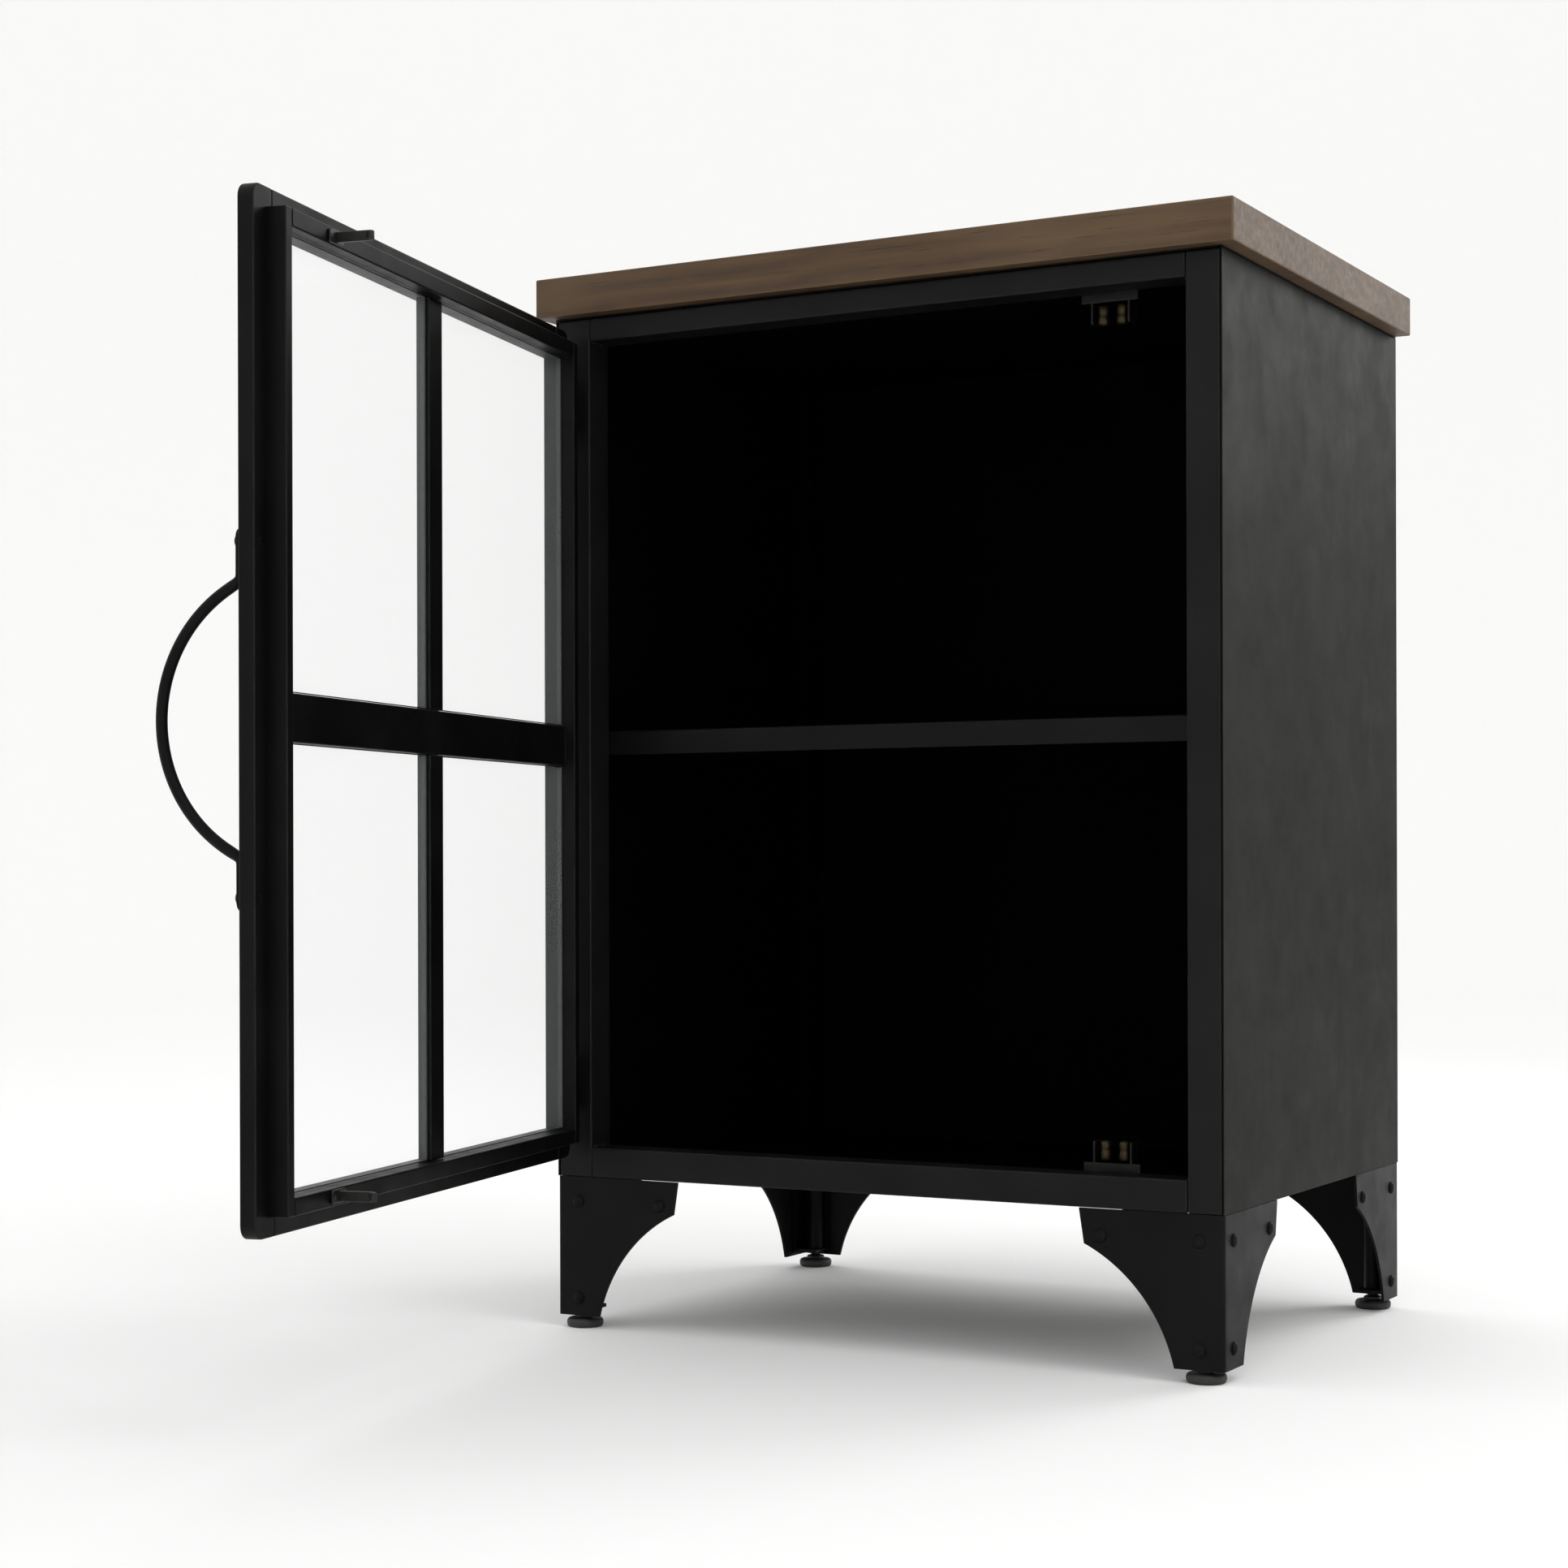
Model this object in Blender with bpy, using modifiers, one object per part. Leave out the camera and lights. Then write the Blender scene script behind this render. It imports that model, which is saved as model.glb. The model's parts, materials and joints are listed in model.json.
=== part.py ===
"""Small steel side cabinet: wood top, folded legs with levelling feet, one glazed door on the left."""

import math

import bmesh
import bpy
import numpy as np
from mathutils import Matrix, Vector

MM = 0.001

# Overall sizes, in millimetres. The front of the body is y = 0, its left side x = 0, the floor z = 0.
BODY_WIDTH = 500.0
BODY_DEPTH = 364.0
BODY_BOTTOM = 107.3
BODY_TOP = 716.2
FIT = 0.3
SHEET = 1.2

# Wood top
SLAB_THICK = 27.5
SLAB_SIDE = 11.0
SLAB_FRONT = 10.0
SLAB_REAR = 1.0
SLAB_EDGE = 0.8

# Front frame and rear corner tubes
TUBE_WALL = 1.5
FRAME_DEEP = 25.0
STILE_LEFT = 26.5
STILE_RIGHT = 23.0
RAIL_BOTTOM = 21.0
RAIL_TOP = 16.0
POST_WIDE = 15.0
TUBE_EDGE = 0.8

# Shelf
SHELF_TOP = 424.0
SHELF_LIP = 17.0
SHELF_SET_BACK = 3.0
BRACKET_WIDE = 12.0
BRACKET_THICK = 1.5
BRACKET_FRONT = 20.0
BRACKET_REAR = 34.5

# Legs: folded plates with an arc cut from each face
LEG_THICK = 2.0
LEG_BOTTOM = 8.7
LEG_WIDE = 98.8
LEG_EDGE_LOW = 84.2
LEG_EDGE_IN = 3.4
LEG_FOOT_WIDE = 34.0
LEG_ARC_RISE = 10.4
LEG_ARC_STEPS = 12
RIVET_NEAR = 17.0
RIVET_FAR = 84.0
RIVET_DROP = 17.3
RIVET_LOW = 21.6
RIVET_HEAD = 4.5
RIVET_DOME = 2.1
RIVET_STAND = 0.6

# Levelling feet
FOOT_INSET_SIDE = 16.0
FOOT_INSET_DEEP = 10.0
PAD_RADIUS = 13.0
PAD_THICK = 6.2
STUD_RADIUS = 4.0
STUD_LONG = 52.0
NUT_RADIUS = 6.8
SLEEVE_RADIUS = 6.5
BORE_CLEARANCE = 0.2

# Door leaf: u runs from the hinge line to the free edge, n from the outer face to the inner face
DOOR_ANGLE = 78.0
AXIS_X = 11.5
AXIS_Y = -6.0
LEAF_GAP = 1.0
LEAF_START = 4.8
LEAF_OVER_SIDE = 11.8
LEAF_OVER_END = 6.0
LEAF_THICK = 10.0
LEAF_WIDE = 22.0
LEAF_CORNER = 8.0
LIP_THICK = 12.0
LIP_IN_SIDE = 14.0
LIP_IN_END = 11.5
LEAF_EDGE = 0.7

# Glazing bars and glass
BAR_HIGH = 27.6
BAR_WIDE = 20.0
BAR_THICK = 9.0
BAR_OUTER = 6.0
BAR_MIDDLE = 411.3
BAR_SHIFT = 5.0
GLASS_THICK = 3.0
GLASS_OUTER = 9.0
GLASS_FIT = 0.4

# Handle: a bowed rod with flattened ends
HANDLE_IN = 7.5
HANDLE_MIDDLE = 409.1
HANDLE_RIVETS = 197.0
HANDLE_LONG = 211.0
HANDLE_RISE = 51.9
HANDLE_BOW = 83.6
RIVET_SHANK = 2.0
ROD_RADIUS = 3.4
END_WIDE = 10.0
END_THICK = 3.0

# Barrel hinges
BARREL_RADIUS = 4.2
BARREL_LONG = 20.0
HINGE_PIN = 2.4
HINGE_FROM_END = 52.0
TAB_THICK = 3.0

# Roller catches and the tongues that enter them
CATCH_FROM_SIDE = 87.0
CATCH_FRONT = 26.5
CATCH_WIDE = 40.0
CATCH_DEEP = 15.0
CATCH_WALL = 1.5
ROLLER_RADIUS = 3.9
ROLLER_LONG = 13.0
ROLLER_GAP = 5.4
ROLLER_TRAVEL = 1.2
ROLLER_LOW = 134.6
TONGUE_Z = 139.5
TONGUE_HIGH = 6.0
TONGUE_THICK = 2.0
TONGUE_BULB = 2.2

for old in list(bpy.data.objects):
    bpy.data.objects.remove(old, do_unlink=True)

parts = bpy.data.collections.new("side_cabinet")
cutters = bpy.data.collections.new("cutters")
bpy.context.scene.collection.children.link(parts)
bpy.context.scene.collection.children.link(cutters)
cutters.hide_render = True


def material(name, color, roughness, metallic, alpha=1.0):
    made = bpy.data.materials.new(name)
    made.use_nodes = True
    surface = made.node_tree.nodes["Principled BSDF"]
    surface.inputs["Base Color"].default_value = (*color, 1.0)
    surface.inputs["Roughness"].default_value = roughness
    surface.inputs["Metallic"].default_value = metallic
    surface.inputs["Alpha"].default_value = alpha
    return made


BODY_PAINT = ((0.10, 0.098, 0.092), 0.45, 0.0)
DARK_PAINT = ((0.035, 0.035, 0.034), 0.42, 0.0)


def new_object(name, mesh, parent, finish=None):
    made = bpy.data.objects.new(name, mesh)
    if finish is None:
        cutters.objects.link(made)
        made.hide_render = True
        made.display_type = "WIRE"
    else:
        parts.objects.link(made)
        mesh.materials.append(material(name + "_finish", *finish))
    made.parent = parent
    return made


def mesh_from(name, build):
    work = bmesh.new()
    build(work)
    bmesh.ops.recalc_face_normals(work, faces=work.faces)
    made = bpy.data.meshes.new(name)
    work.to_mesh(made)
    work.free()
    return made


def box(name, low, high, parent, finish=None):
    """A box between two corners in millimetres."""
    size = [(b - a) * MM for a, b in zip(low, high)]
    middle = [(a + b) / 2 * MM for a, b in zip(low, high)]

    def build(work):
        bmesh.ops.create_cube(work, size=1.0)
        bmesh.ops.scale(work, vec=size, verts=work.verts)
        bmesh.ops.translate(work, vec=middle, verts=work.verts)

    return new_object(name, mesh_from(name, build), parent, finish)


def plate(name, outline, start, end, place, parent, finish=None):
    """A flat outline extruded between two depths; place(a, b, depth) gives the point in millimetres."""
    flat_curve = bpy.data.curves.new(name + "_outline", "CURVE")
    flat_curve.dimensions = "2D"
    flat_curve.fill_mode = "BOTH"
    flat_curve.extrude = abs(end - start) / 2 * MM
    line = flat_curve.splines.new("POLY")
    line.points.add(len(outline) - 1)
    for point, (a, b) in zip(line.points, outline):
        point.co = (a * MM, b * MM, 0.0, 1.0)
    line.use_cyclic_u = True
    holder = bpy.data.objects.new(name + "_outline", flat_curve)
    bpy.context.scene.collection.objects.link(holder)
    bpy.context.view_layer.update()
    solid = bpy.data.meshes.new_from_object(
        holder.evaluated_get(bpy.context.evaluated_depsgraph_get())
    )
    bpy.data.objects.remove(holder, do_unlink=True)
    solid.materials.clear()
    work = bmesh.new()
    work.from_mesh(solid)
    bmesh.ops.remove_doubles(work, verts=work.verts, dist=0.000001)
    for vert in work.verts:
        a, b, depth = (value / MM for value in vert.co)
        vert.co = Vector(place(a, b, depth + (start + end) / 2)) * MM
    if finish is not None:
        bmesh.ops.dissolve_limit(work, angle_limit=0.001, verts=work.verts, edges=work.edges)
    bmesh.ops.recalc_face_normals(work, faces=work.faces)
    if work.calc_volume(signed=True) < 0:
        bmesh.ops.reverse_faces(work, faces=work.faces)
    work.to_mesh(solid)
    work.free()
    return new_object(name, solid, parent, finish)


def rod(name, radius, start, end, parent, finish=None, segments=24):
    """A round bar between two points in millimetres."""
    a = Vector(start) * MM
    b = Vector(end) * MM
    turn = Vector((0, 0, 1)).rotation_difference(b - a).to_matrix().to_4x4()
    place = Matrix.Translation((a + b) / 2) @ turn

    def build(work):
        bmesh.ops.create_cone(
            work,
            cap_ends=True,
            segments=segments,
            radius1=radius * MM,
            radius2=radius * MM,
            depth=(b - a).length,
            matrix=place,
        )

    return new_object(name, mesh_from(name, build), parent, finish)


def dome(name, centre, radii, parent, finish=None):
    """A rounded button: an ellipsoid with its three half sizes in millimetres."""

    def build(work):
        bmesh.ops.create_uvsphere(work, u_segments=12, v_segments=8, radius=1.0)
        bmesh.ops.scale(work, vec=[r * MM for r in radii], verts=work.verts)
        bmesh.ops.translate(work, vec=Vector(centre) * MM, verts=work.verts)

    return new_object(name, mesh_from(name, build), parent, finish)


def turned(name, profile, base, direction, parent, finish=None, steps=24):
    """A turned shape: profile lists (radius, height) from top to bottom; base is its zero point."""
    made = bpy.data.meshes.new(name)
    made.from_pydata(
        [(r * MM, 0.0, h * MM) for r, h in profile],
        [(i, i + 1) for i in range(len(profile) - 1)],
        [],
    )
    shape = new_object(name, made, parent, finish)
    screw = shape.modifiers.new("turn", "SCREW")
    screw.axis = "Z"
    screw.angle = math.tau
    screw.steps = steps
    screw.render_steps = steps
    screw.use_merge_vertices = True
    screw.merge_threshold = 0.00001
    turn = Vector((0, 0, 1)).rotation_difference(Vector(direction))
    shape.rotation_mode = "QUATERNION"
    shape.rotation_quaternion = turn
    shape.location = Vector(base) * MM
    return shape


def boolean(target, others, operation):
    """One exact Boolean of the target with all the others at once."""
    group = bpy.data.collections.new(f"{target.name}_{operation.lower()}")
    cutters.children.link(group)
    for other in others:
        group.objects.link(other)
    step = target.modifiers.new(operation.lower(), "BOOLEAN")
    step.operation = operation
    step.solver = "EXACT"
    step.operand_type = "COLLECTION"
    step.collection = group


def cut(target, *others):
    boolean(target, others, "DIFFERENCE")


def join(target, *others):
    boolean(target, others, "UNION")


def soften(target, width, segments=2):
    step = target.modifiers.new("edge", "BEVEL")
    step.width = width * MM
    step.segments = segments
    step.limit_method = "ANGLE"
    step.angle_limit = math.radians(40)


def smooth(target, angle=35):
    for face in target.data.polygons:
        face.use_smooth = True
    target.data.set_sharp_from_angle(angle=math.radians(angle))


def tube(name, low, high, along, parent, finish):
    """A square tube, open at both ends, along axis 0, 1 or 2."""
    shape = box(name, low, high, parent, finish)
    inner_low = [a + TUBE_WALL for a in low]
    inner_high = [b - TUBE_WALL for b in high]
    inner_low[along] = low[along] - 5
    inner_high[along] = high[along] + 5
    soften(shape, TUBE_EDGE)
    cut(shape, box(name + "_bore", inner_low, inner_high, parent))
    return shape


root = bpy.data.objects.new("cabinet", None)
parts.objects.link(root)
door = bpy.data.objects.new("door_hinge_line", None)
parts.objects.link(door)
door.parent = root
door.location = (AXIS_X * MM, AXIS_Y * MM, 0.0)
door.rotation_euler = (0.0, 0.0, -math.radians(DOOR_ANGLE))

# Levels and edges that follow from the sizes above
inside_left = SHEET + FIT
inside_right = BODY_WIDTH - SHEET - FIT
inside_back = BODY_DEPTH - SHEET - FIT
frame_top = BODY_TOP - SHEET - FIT
opening_left = inside_left + STILE_LEFT
opening_right = inside_right - STILE_RIGHT
opening_bottom = BODY_BOTTOM + RAIL_BOTTOM
opening_top = frame_top - RAIL_TOP
opening_middle = (opening_bottom + opening_top) / 2

# Wood top
slab_low = BODY_TOP + FIT
slab = box(
    "top_slab",
    (-SLAB_SIDE, -SLAB_FRONT, slab_low),
    (BODY_WIDTH + SLAB_SIDE, BODY_DEPTH + SLAB_REAR, slab_low + SLAB_THICK),
    root,
    ((0.36, 0.24, 0.13), 0.55, 0.0),
)
soften(slab, SLAB_EDGE)

# Sheet steel skins
box("top_panel", (0, 0, BODY_TOP - SHEET), (BODY_WIDTH, BODY_DEPTH, BODY_TOP), root, BODY_PAINT)
box("side_panel_left", (0, 0, BODY_BOTTOM), (SHEET, BODY_DEPTH, frame_top), root, BODY_PAINT)
box(
    "side_panel_right",
    (BODY_WIDTH - SHEET, 0, BODY_BOTTOM),
    (BODY_WIDTH, BODY_DEPTH, frame_top),
    root,
    BODY_PAINT,
)
box(
    "back_panel",
    (inside_left, BODY_DEPTH - SHEET, BODY_BOTTOM),
    (inside_right, BODY_DEPTH, frame_top),
    root,
    BODY_PAINT,
)
box(
    "floor_panel",
    (inside_left, FRAME_DEEP + FIT, BODY_BOTTOM),
    (inside_right, inside_back, BODY_BOTTOM + SHEET),
    root,
    DARK_PAINT,
)

# Front frame
tube(
    "front_stile_left",
    (inside_left, 0, BODY_BOTTOM),
    (opening_left, FRAME_DEEP, frame_top),
    2,
    root,
    BODY_PAINT,
)
tube(
    "front_stile_right",
    (opening_right, 0, BODY_BOTTOM),
    (inside_right, FRAME_DEEP, frame_top),
    2,
    root,
    BODY_PAINT,
)
for name, low, high in (
    ("front_rail_bottom", BODY_BOTTOM, opening_bottom),
    ("front_rail_top", opening_top, frame_top),
):
    tube(
        name,
        (opening_left + FIT, 0, low),
        (opening_right - FIT, FRAME_DEEP, high),
        0,
        root,
        BODY_PAINT,
    )

# Rear corner tubes stand on the floor panel
floor_top = BODY_BOTTOM + SHEET
for name, left in (("rear_post_left", inside_left), ("rear_post_right", inside_right - POST_WIDE)):
    tube(
        name,
        (left, inside_back - POST_WIDE, floor_top + FIT),
        (left + POST_WIDE, inside_back, frame_top),
        2,
        root,
        BODY_PAINT,
    )

# Shelf: a sheet folded down at the front and the sides, notched around the rear tubes
shelf_left = inside_left + FIT
shelf_right = inside_right - FIT
shelf_front = FRAME_DEEP + SHELF_SET_BACK
shelf_back = inside_back - FIT
shelf_low = SHELF_TOP - SHELF_LIP
shelf = box(
    "shelf", (shelf_left, shelf_front, shelf_low), (shelf_right, shelf_back, SHELF_TOP), root, DARK_PAINT
)
shelf_cuts = [
    box(
        "shelf_hollow",
        (shelf_left + SHEET, shelf_front + SHEET, shelf_low - 5),
        (shelf_right - SHEET, shelf_back + 5, SHELF_TOP - SHEET),
        root,
    )
]
notch = POST_WIDE + 2 * FIT
for name, left in (("notch_left", shelf_left - 5), ("notch_right", shelf_right - notch)):
    shelf_cuts.append(
        box(
            name,
            (left, shelf_back - notch, shelf_low - 10),
            (left + notch + 5, shelf_back + 10, SHELF_TOP + 5),
            root,
        )
    )
cut(shelf, *shelf_cuts)

# Angles that carry the shelf
bracket_start = shelf_front + BRACKET_FRONT
bracket_end = inside_back - BRACKET_REAR
for name, wall, side in (
    ("shelf_bracket_left", inside_left, 1),
    ("shelf_bracket_right", inside_right, -1),
):
    angle = [
        (0, 0),
        (BRACKET_WIDE, 0),
        (BRACKET_WIDE, -BRACKET_THICK),
        (BRACKET_THICK, -BRACKET_THICK),
        (BRACKET_THICK, -BRACKET_WIDE),
        (0, -BRACKET_WIDE),
    ]
    plate(
        name,
        angle,
        bracket_start,
        bracket_end,
        lambda a, b, depth, wall=wall, side=side: (wall + side * a, depth, shelf_low - FIT + b),
        root,
        DARK_PAINT,
    )

# Legs, their inner angles and their levelling feet
leg_top = BODY_BOTTOM - FIT
rivet_high = BODY_BOTTOM - RIVET_DROP
edge_slope = LEG_EDGE_IN / (leg_top - LEG_EDGE_LOW)


def leg_arc():
    """Points of the arc cut, from the top edge to the foot."""
    start = Vector((LEG_WIDE - LEG_EDGE_IN, LEG_EDGE_LOW))
    end = Vector((LEG_FOOT_WIDE + 1.0, LEG_BOTTOM + 4.0))
    half = (start - end).length / 2
    radius = (half**2 + LEG_ARC_RISE**2) / (2 * LEG_ARC_RISE)
    along = (end - start).normalized()
    across = Vector((along.y, -along.x))
    if across.x > 0:
        across = -across
    middle = (start + end) / 2 + across * (LEG_ARC_RISE - radius)
    spread = math.asin(half / radius)
    points = []
    for step in range(LEG_ARC_STEPS + 1):
        turn = -spread + 2 * spread * step / LEG_ARC_STEPS
        points.append(middle + radius * (across * math.cos(turn) + along * math.sin(turn)))
    return [(p.x, p.y) for p in points]


def waste_outline():
    """The region removed from one face of a leg: a is the distance from the fold, b the height."""
    arc = leg_arc()
    above = leg_top + 5
    top = (LEG_WIDE + edge_slope * 5, above)
    low = (LEG_FOOT_WIDE - 0.7, LEG_BOTTOM - 3)
    return [top, *arc, low, (LEG_WIDE + 40, LEG_BOTTOM - 3), (LEG_WIDE + 40, above)]


def fold_outline(start, reach, thick):
    return [
        (start, start),
        (start + reach, start),
        (start + reach, start + thick),
        (start + thick, start + thick),
        (start + thick, start + reach),
        (start, start + reach),
    ]


for corner, x0, y0, sx, sy in (
    ("front_left", 0.0, 0.0, 1, 1),
    ("front_right", BODY_WIDTH, 0.0, -1, 1),
    ("rear_left", 0.0, BODY_DEPTH, 1, -1),
    ("rear_right", BODY_WIDTH, BODY_DEPTH, -1, -1),
):

    def at(a, b, z, x0=x0, y0=y0, sx=sx, sy=sy):
        return (x0 + sx * a, y0 + sy * b, z)

    def flat(a, b, depth, at=at):
        return at(a, b, depth)

    def faced_x(a, b, depth, at=at):
        return at(a, depth, b)

    def faced_y(a, b, depth, at=at):
        return at(depth, a, b)

    leg = plate(
        "leg_" + corner,
        fold_outline(0.0, LEG_WIDE + 5, LEG_THICK),
        LEG_BOTTOM,
        leg_top,
        flat,
        root,
        BODY_PAINT,
    )
    wastes = [
        plate(f"waste_{tag}_{corner}", waste_outline(), -5, LEG_WIDE + 15, place, root)
        for tag, place in (("x", faced_x), ("y", faced_y))
    ]
    cut(leg, *wastes)
    spots = ((RIVET_NEAR, rivet_high), (RIVET_FAR, rivet_high), (RIVET_NEAR, RIVET_LOW))
    heads = []
    for number, (along, high) in enumerate(spots):
        heads.append(
            dome(
                f"rivet_x{number}_{corner}",
                at(along, -RIVET_STAND, high),
                (RIVET_HEAD, RIVET_DOME, RIVET_HEAD),
                root,
            )
        )
        heads.append(
            dome(
                f"rivet_y{number}_{corner}",
                at(-RIVET_STAND, along, high),
                (RIVET_DOME, RIVET_HEAD, RIVET_HEAD),
                root,
            )
        )
    join(leg, *heads)

    # Inner angle: upright and top flanges behind the leg, and a sleeve for the stud
    inner = LEG_THICK + FIT
    angle_top = leg_top - FIT
    angle = plate(
        "leg_bracket_" + corner,
        fold_outline(inner, LEG_WIDE - 12, LEG_THICK),
        LEG_BOTTOM + 3,
        angle_top,
        flat,
        root,
        DARK_PAINT,
    )
    upright = RIVET_NEAR + 8
    strip = [
        (upright, LEG_BOTTOM - 10),
        (upright, LEG_EDGE_LOW - 8),
        (upright + 12, LEG_EDGE_LOW),
        (LEG_WIDE + 20, LEG_EDGE_LOW),
        (LEG_WIDE + 20, LEG_BOTTOM - 10),
    ]
    reliefs = [
        plate(f"relief_{tag}_{corner}", strip, inner - 5, LEG_WIDE + 15, place, root)
        for tag, place in (("x", faced_x), ("y", faced_y))
    ]
    cut(angle, *reliefs)
    joined = []
    sleeve_low = LEG_BOTTOM + 2
    joined.append(
        rod(
            "sleeve_" + corner,
            SLEEVE_RADIUS,
            at(FOOT_INSET_SIDE, FOOT_INSET_DEEP, sleeve_low),
            at(FOOT_INSET_SIDE, FOOT_INSET_DEEP, angle_top - 0.5),
            root,
            segments=22,
        )
    )
    for tag, low, high in (("low", LEG_BOTTOM + 3.5, LEG_BOTTOM + 6), ("high", angle_top - 3, angle_top - 1)):
        span = upright - 0.5
        tie = [(inner + 0.7, inner + 0.7), (span, inner + 0.7), (span, span), (inner + 0.7, span)]
        joined.append(plate(f"tie_{tag}_{corner}", tie, low, high, flat, root))
    join(angle, *joined)
    cut(
        angle,
        rod(
            "bore_" + corner,
            STUD_RADIUS + BORE_CLEARANCE,
            at(FOOT_INSET_SIDE, FOOT_INSET_DEEP, 0),
            at(FOOT_INSET_SIDE, FOOT_INSET_DEEP, PAD_THICK + STUD_LONG + 12),
            root,
            segments=22,
        ),
    )

    # Foot: pad on the floor, threaded stud up into the sleeve
    centre = at(FOOT_INSET_SIDE, FOOT_INSET_DEEP, 0)
    pad_profile = [
        (0.0, PAD_THICK),
        (PAD_RADIUS - 2.5, PAD_THICK),
        (PAD_RADIUS - 0.9, PAD_THICK - 0.6),
        (PAD_RADIUS, PAD_THICK - 1.8),
        (PAD_RADIUS, 0.9),
        (PAD_RADIUS - 0.9, 0.0),
        (0.0, 0.0),
    ]
    pad = turned(
        "leveller_pad_" + corner,
        pad_profile,
        centre,
        (0, 0, 1),
        root,
        ((0.03, 0.03, 0.03), 0.6, 0.0),
        steps=32,
    )
    smooth(pad)
    seat = PAD_THICK + FIT
    stud_profile = [
        (0.0, seat + STUD_LONG),
        (STUD_RADIUS - 0.8, seat + STUD_LONG),
        (STUD_RADIUS, seat + STUD_LONG - 0.8),
        (STUD_RADIUS, seat + 2.6),
        (NUT_RADIUS - 0.6, seat + 2.6),
        (NUT_RADIUS, seat + 2.0),
        (NUT_RADIUS, seat),
        (0.0, seat),
    ]
    stud = turned(
        "leveller_stud_" + corner,
        stud_profile,
        centre,
        (0, 0, 1),
        root,
        ((0.45, 0.45, 0.44), 0.35, 1.0),
    )
    smooth(stud)

# Door leaf, in the hinge's own frame: x is u, y is n less the hinge's depth
leaf_outer = -LEAF_GAP - LEAF_THICK - AXIS_Y
leaf_right = opening_right + LEAF_OVER_SIDE - AXIS_X
leaf_low = opening_bottom - LEAF_OVER_END
leaf_high = opening_top + LEAF_OVER_END
leaf_back = leaf_outer + LEAF_THICK
lip_back = leaf_back + LIP_THICK
pane_left = LEAF_START + LEAF_WIDE
pane_right = leaf_right - LEAF_WIDE
pane_low = leaf_low + LEAF_WIDE
pane_high = leaf_high - LEAF_WIDE
LIP_SHY = 0.2
LIP_ROOT = 1.5


def rounded_strip(outer, inner, low, high, radius):
    """A strip whose two corners on the outer side are round."""
    side = 1 if inner > outer else -1
    points = []
    for step in range(7):
        turn = math.pi / 2 * step / 6
        points.append(
            (outer + side * radius * (1 - math.sin(turn)), low + radius * (1 - math.cos(turn)))
        )
    points.reverse()
    lower = points
    upper = [(a, low + high - b) for a, b in reversed(lower)]
    return [(inner, low), *reversed(lower), *reversed(upper), (inner, high)]


def upright_plate(a, b, depth):
    return (a, depth, b)


handle_u = leaf_right - HANDLE_IN
rivet_levels = (
    ("bottom", HANDLE_MIDDLE - HANDLE_RIVETS / 2),
    ("top", HANDLE_MIDDLE + HANDLE_RIVETS / 2),
)
lip_low = leaf_low + LIP_IN_END
lip_high = leaf_high - LIP_IN_END
for name, outer, inner, lip_a, lip_b in (
    (
        "door_stile_hinge",
        LEAF_START,
        pane_left,
        LEAF_START + LIP_IN_SIDE,
        pane_left - LIP_SHY,
    ),
    ("door_stile_free", leaf_right, pane_right, pane_right + LIP_SHY, leaf_right - LIP_IN_SIDE),
):
    stile = plate(
        name,
        rounded_strip(outer, inner, leaf_low, leaf_high, LEAF_CORNER),
        leaf_outer,
        leaf_back,
        upright_plate,
        door,
        DARK_PAINT,
    )
    soften(stile, LEAF_EDGE)
    join(
        stile,
        box(
            name + "_lip",
            (lip_a, leaf_back - LIP_ROOT, lip_low),
            (lip_b, lip_back, lip_high),
            door,
        ),
    )
    if name == "door_stile_free":
        for level, height in rivet_levels:
            cut(
                stile,
                rod(
                    "handle_hole_" + level,
                    RIVET_SHANK + BORE_CLEARANCE,
                    (handle_u, leaf_outer - 10, height),
                    (handle_u, leaf_back + 10, height),
                    door,
                ),
            )

for name, low, high, lip_a, lip_b in (
    ("door_rail_bottom", leaf_low, pane_low, lip_low, pane_low - LIP_SHY),
    ("door_rail_top", pane_high, leaf_high, pane_high + LIP_SHY, lip_high),
):
    rail = box(
        name,
        (pane_left + FIT, leaf_outer, low),
        (pane_right - FIT, leaf_back, high),
        door,
        DARK_PAINT,
    )
    soften(rail, LEAF_EDGE)
    join(
        rail,
        box(
            name + "_lip",
            (pane_left + FIT + 0.1, leaf_back - LIP_ROOT, lip_a),
            (pane_right - FIT - 0.1, lip_back, lip_b),
            door,
        ),
    )

# Glazing bars: one across, two upright pieces above and below it
bar_near = leaf_outer + BAR_OUTER
bar_far = bar_near + BAR_THICK
bar_low = BAR_MIDDLE - BAR_HIGH / 2
bar_high = BAR_MIDDLE + BAR_HIGH / 2
bar_u = (pane_left + pane_right) / 2 + BAR_SHIFT
across = box(
    "muntin_horizontal",
    (pane_left + FIT, bar_near, bar_low),
    (pane_right - FIT, bar_far, bar_high),
    door,
    DARK_PAINT,
)
soften(across, LEAF_EDGE)
for name, low, high in (
    ("muntin_lower", pane_low + FIT, bar_low - FIT),
    ("muntin_upper", bar_high + FIT, pane_high - FIT),
):
    upright_bar = box(
        name,
        (bar_u - BAR_WIDE / 2, bar_near, low),
        (bar_u + BAR_WIDE / 2, bar_far, high),
        door,
        DARK_PAINT,
    )
    soften(upright_bar, LEAF_EDGE)

# Glass: four panes between the bars
for row, low, high in (("lower", pane_low, bar_low), ("upper", bar_high, pane_high)):
    for side, left, right in (
        ("hinge", pane_left, bar_u - BAR_WIDE / 2),
        ("free", bar_u + BAR_WIDE / 2, pane_right),
    ):
        box(
            f"glass_{row}_{side}",
            (left + GLASS_FIT, leaf_outer + GLASS_OUTER, low + GLASS_FIT),
            (right - GLASS_FIT, leaf_outer + GLASS_OUTER + GLASS_THICK, high - GLASS_FIT),
            door,
            ((0.9, 0.93, 0.92), 0.03, 0.0, 0.25),
        )


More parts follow.
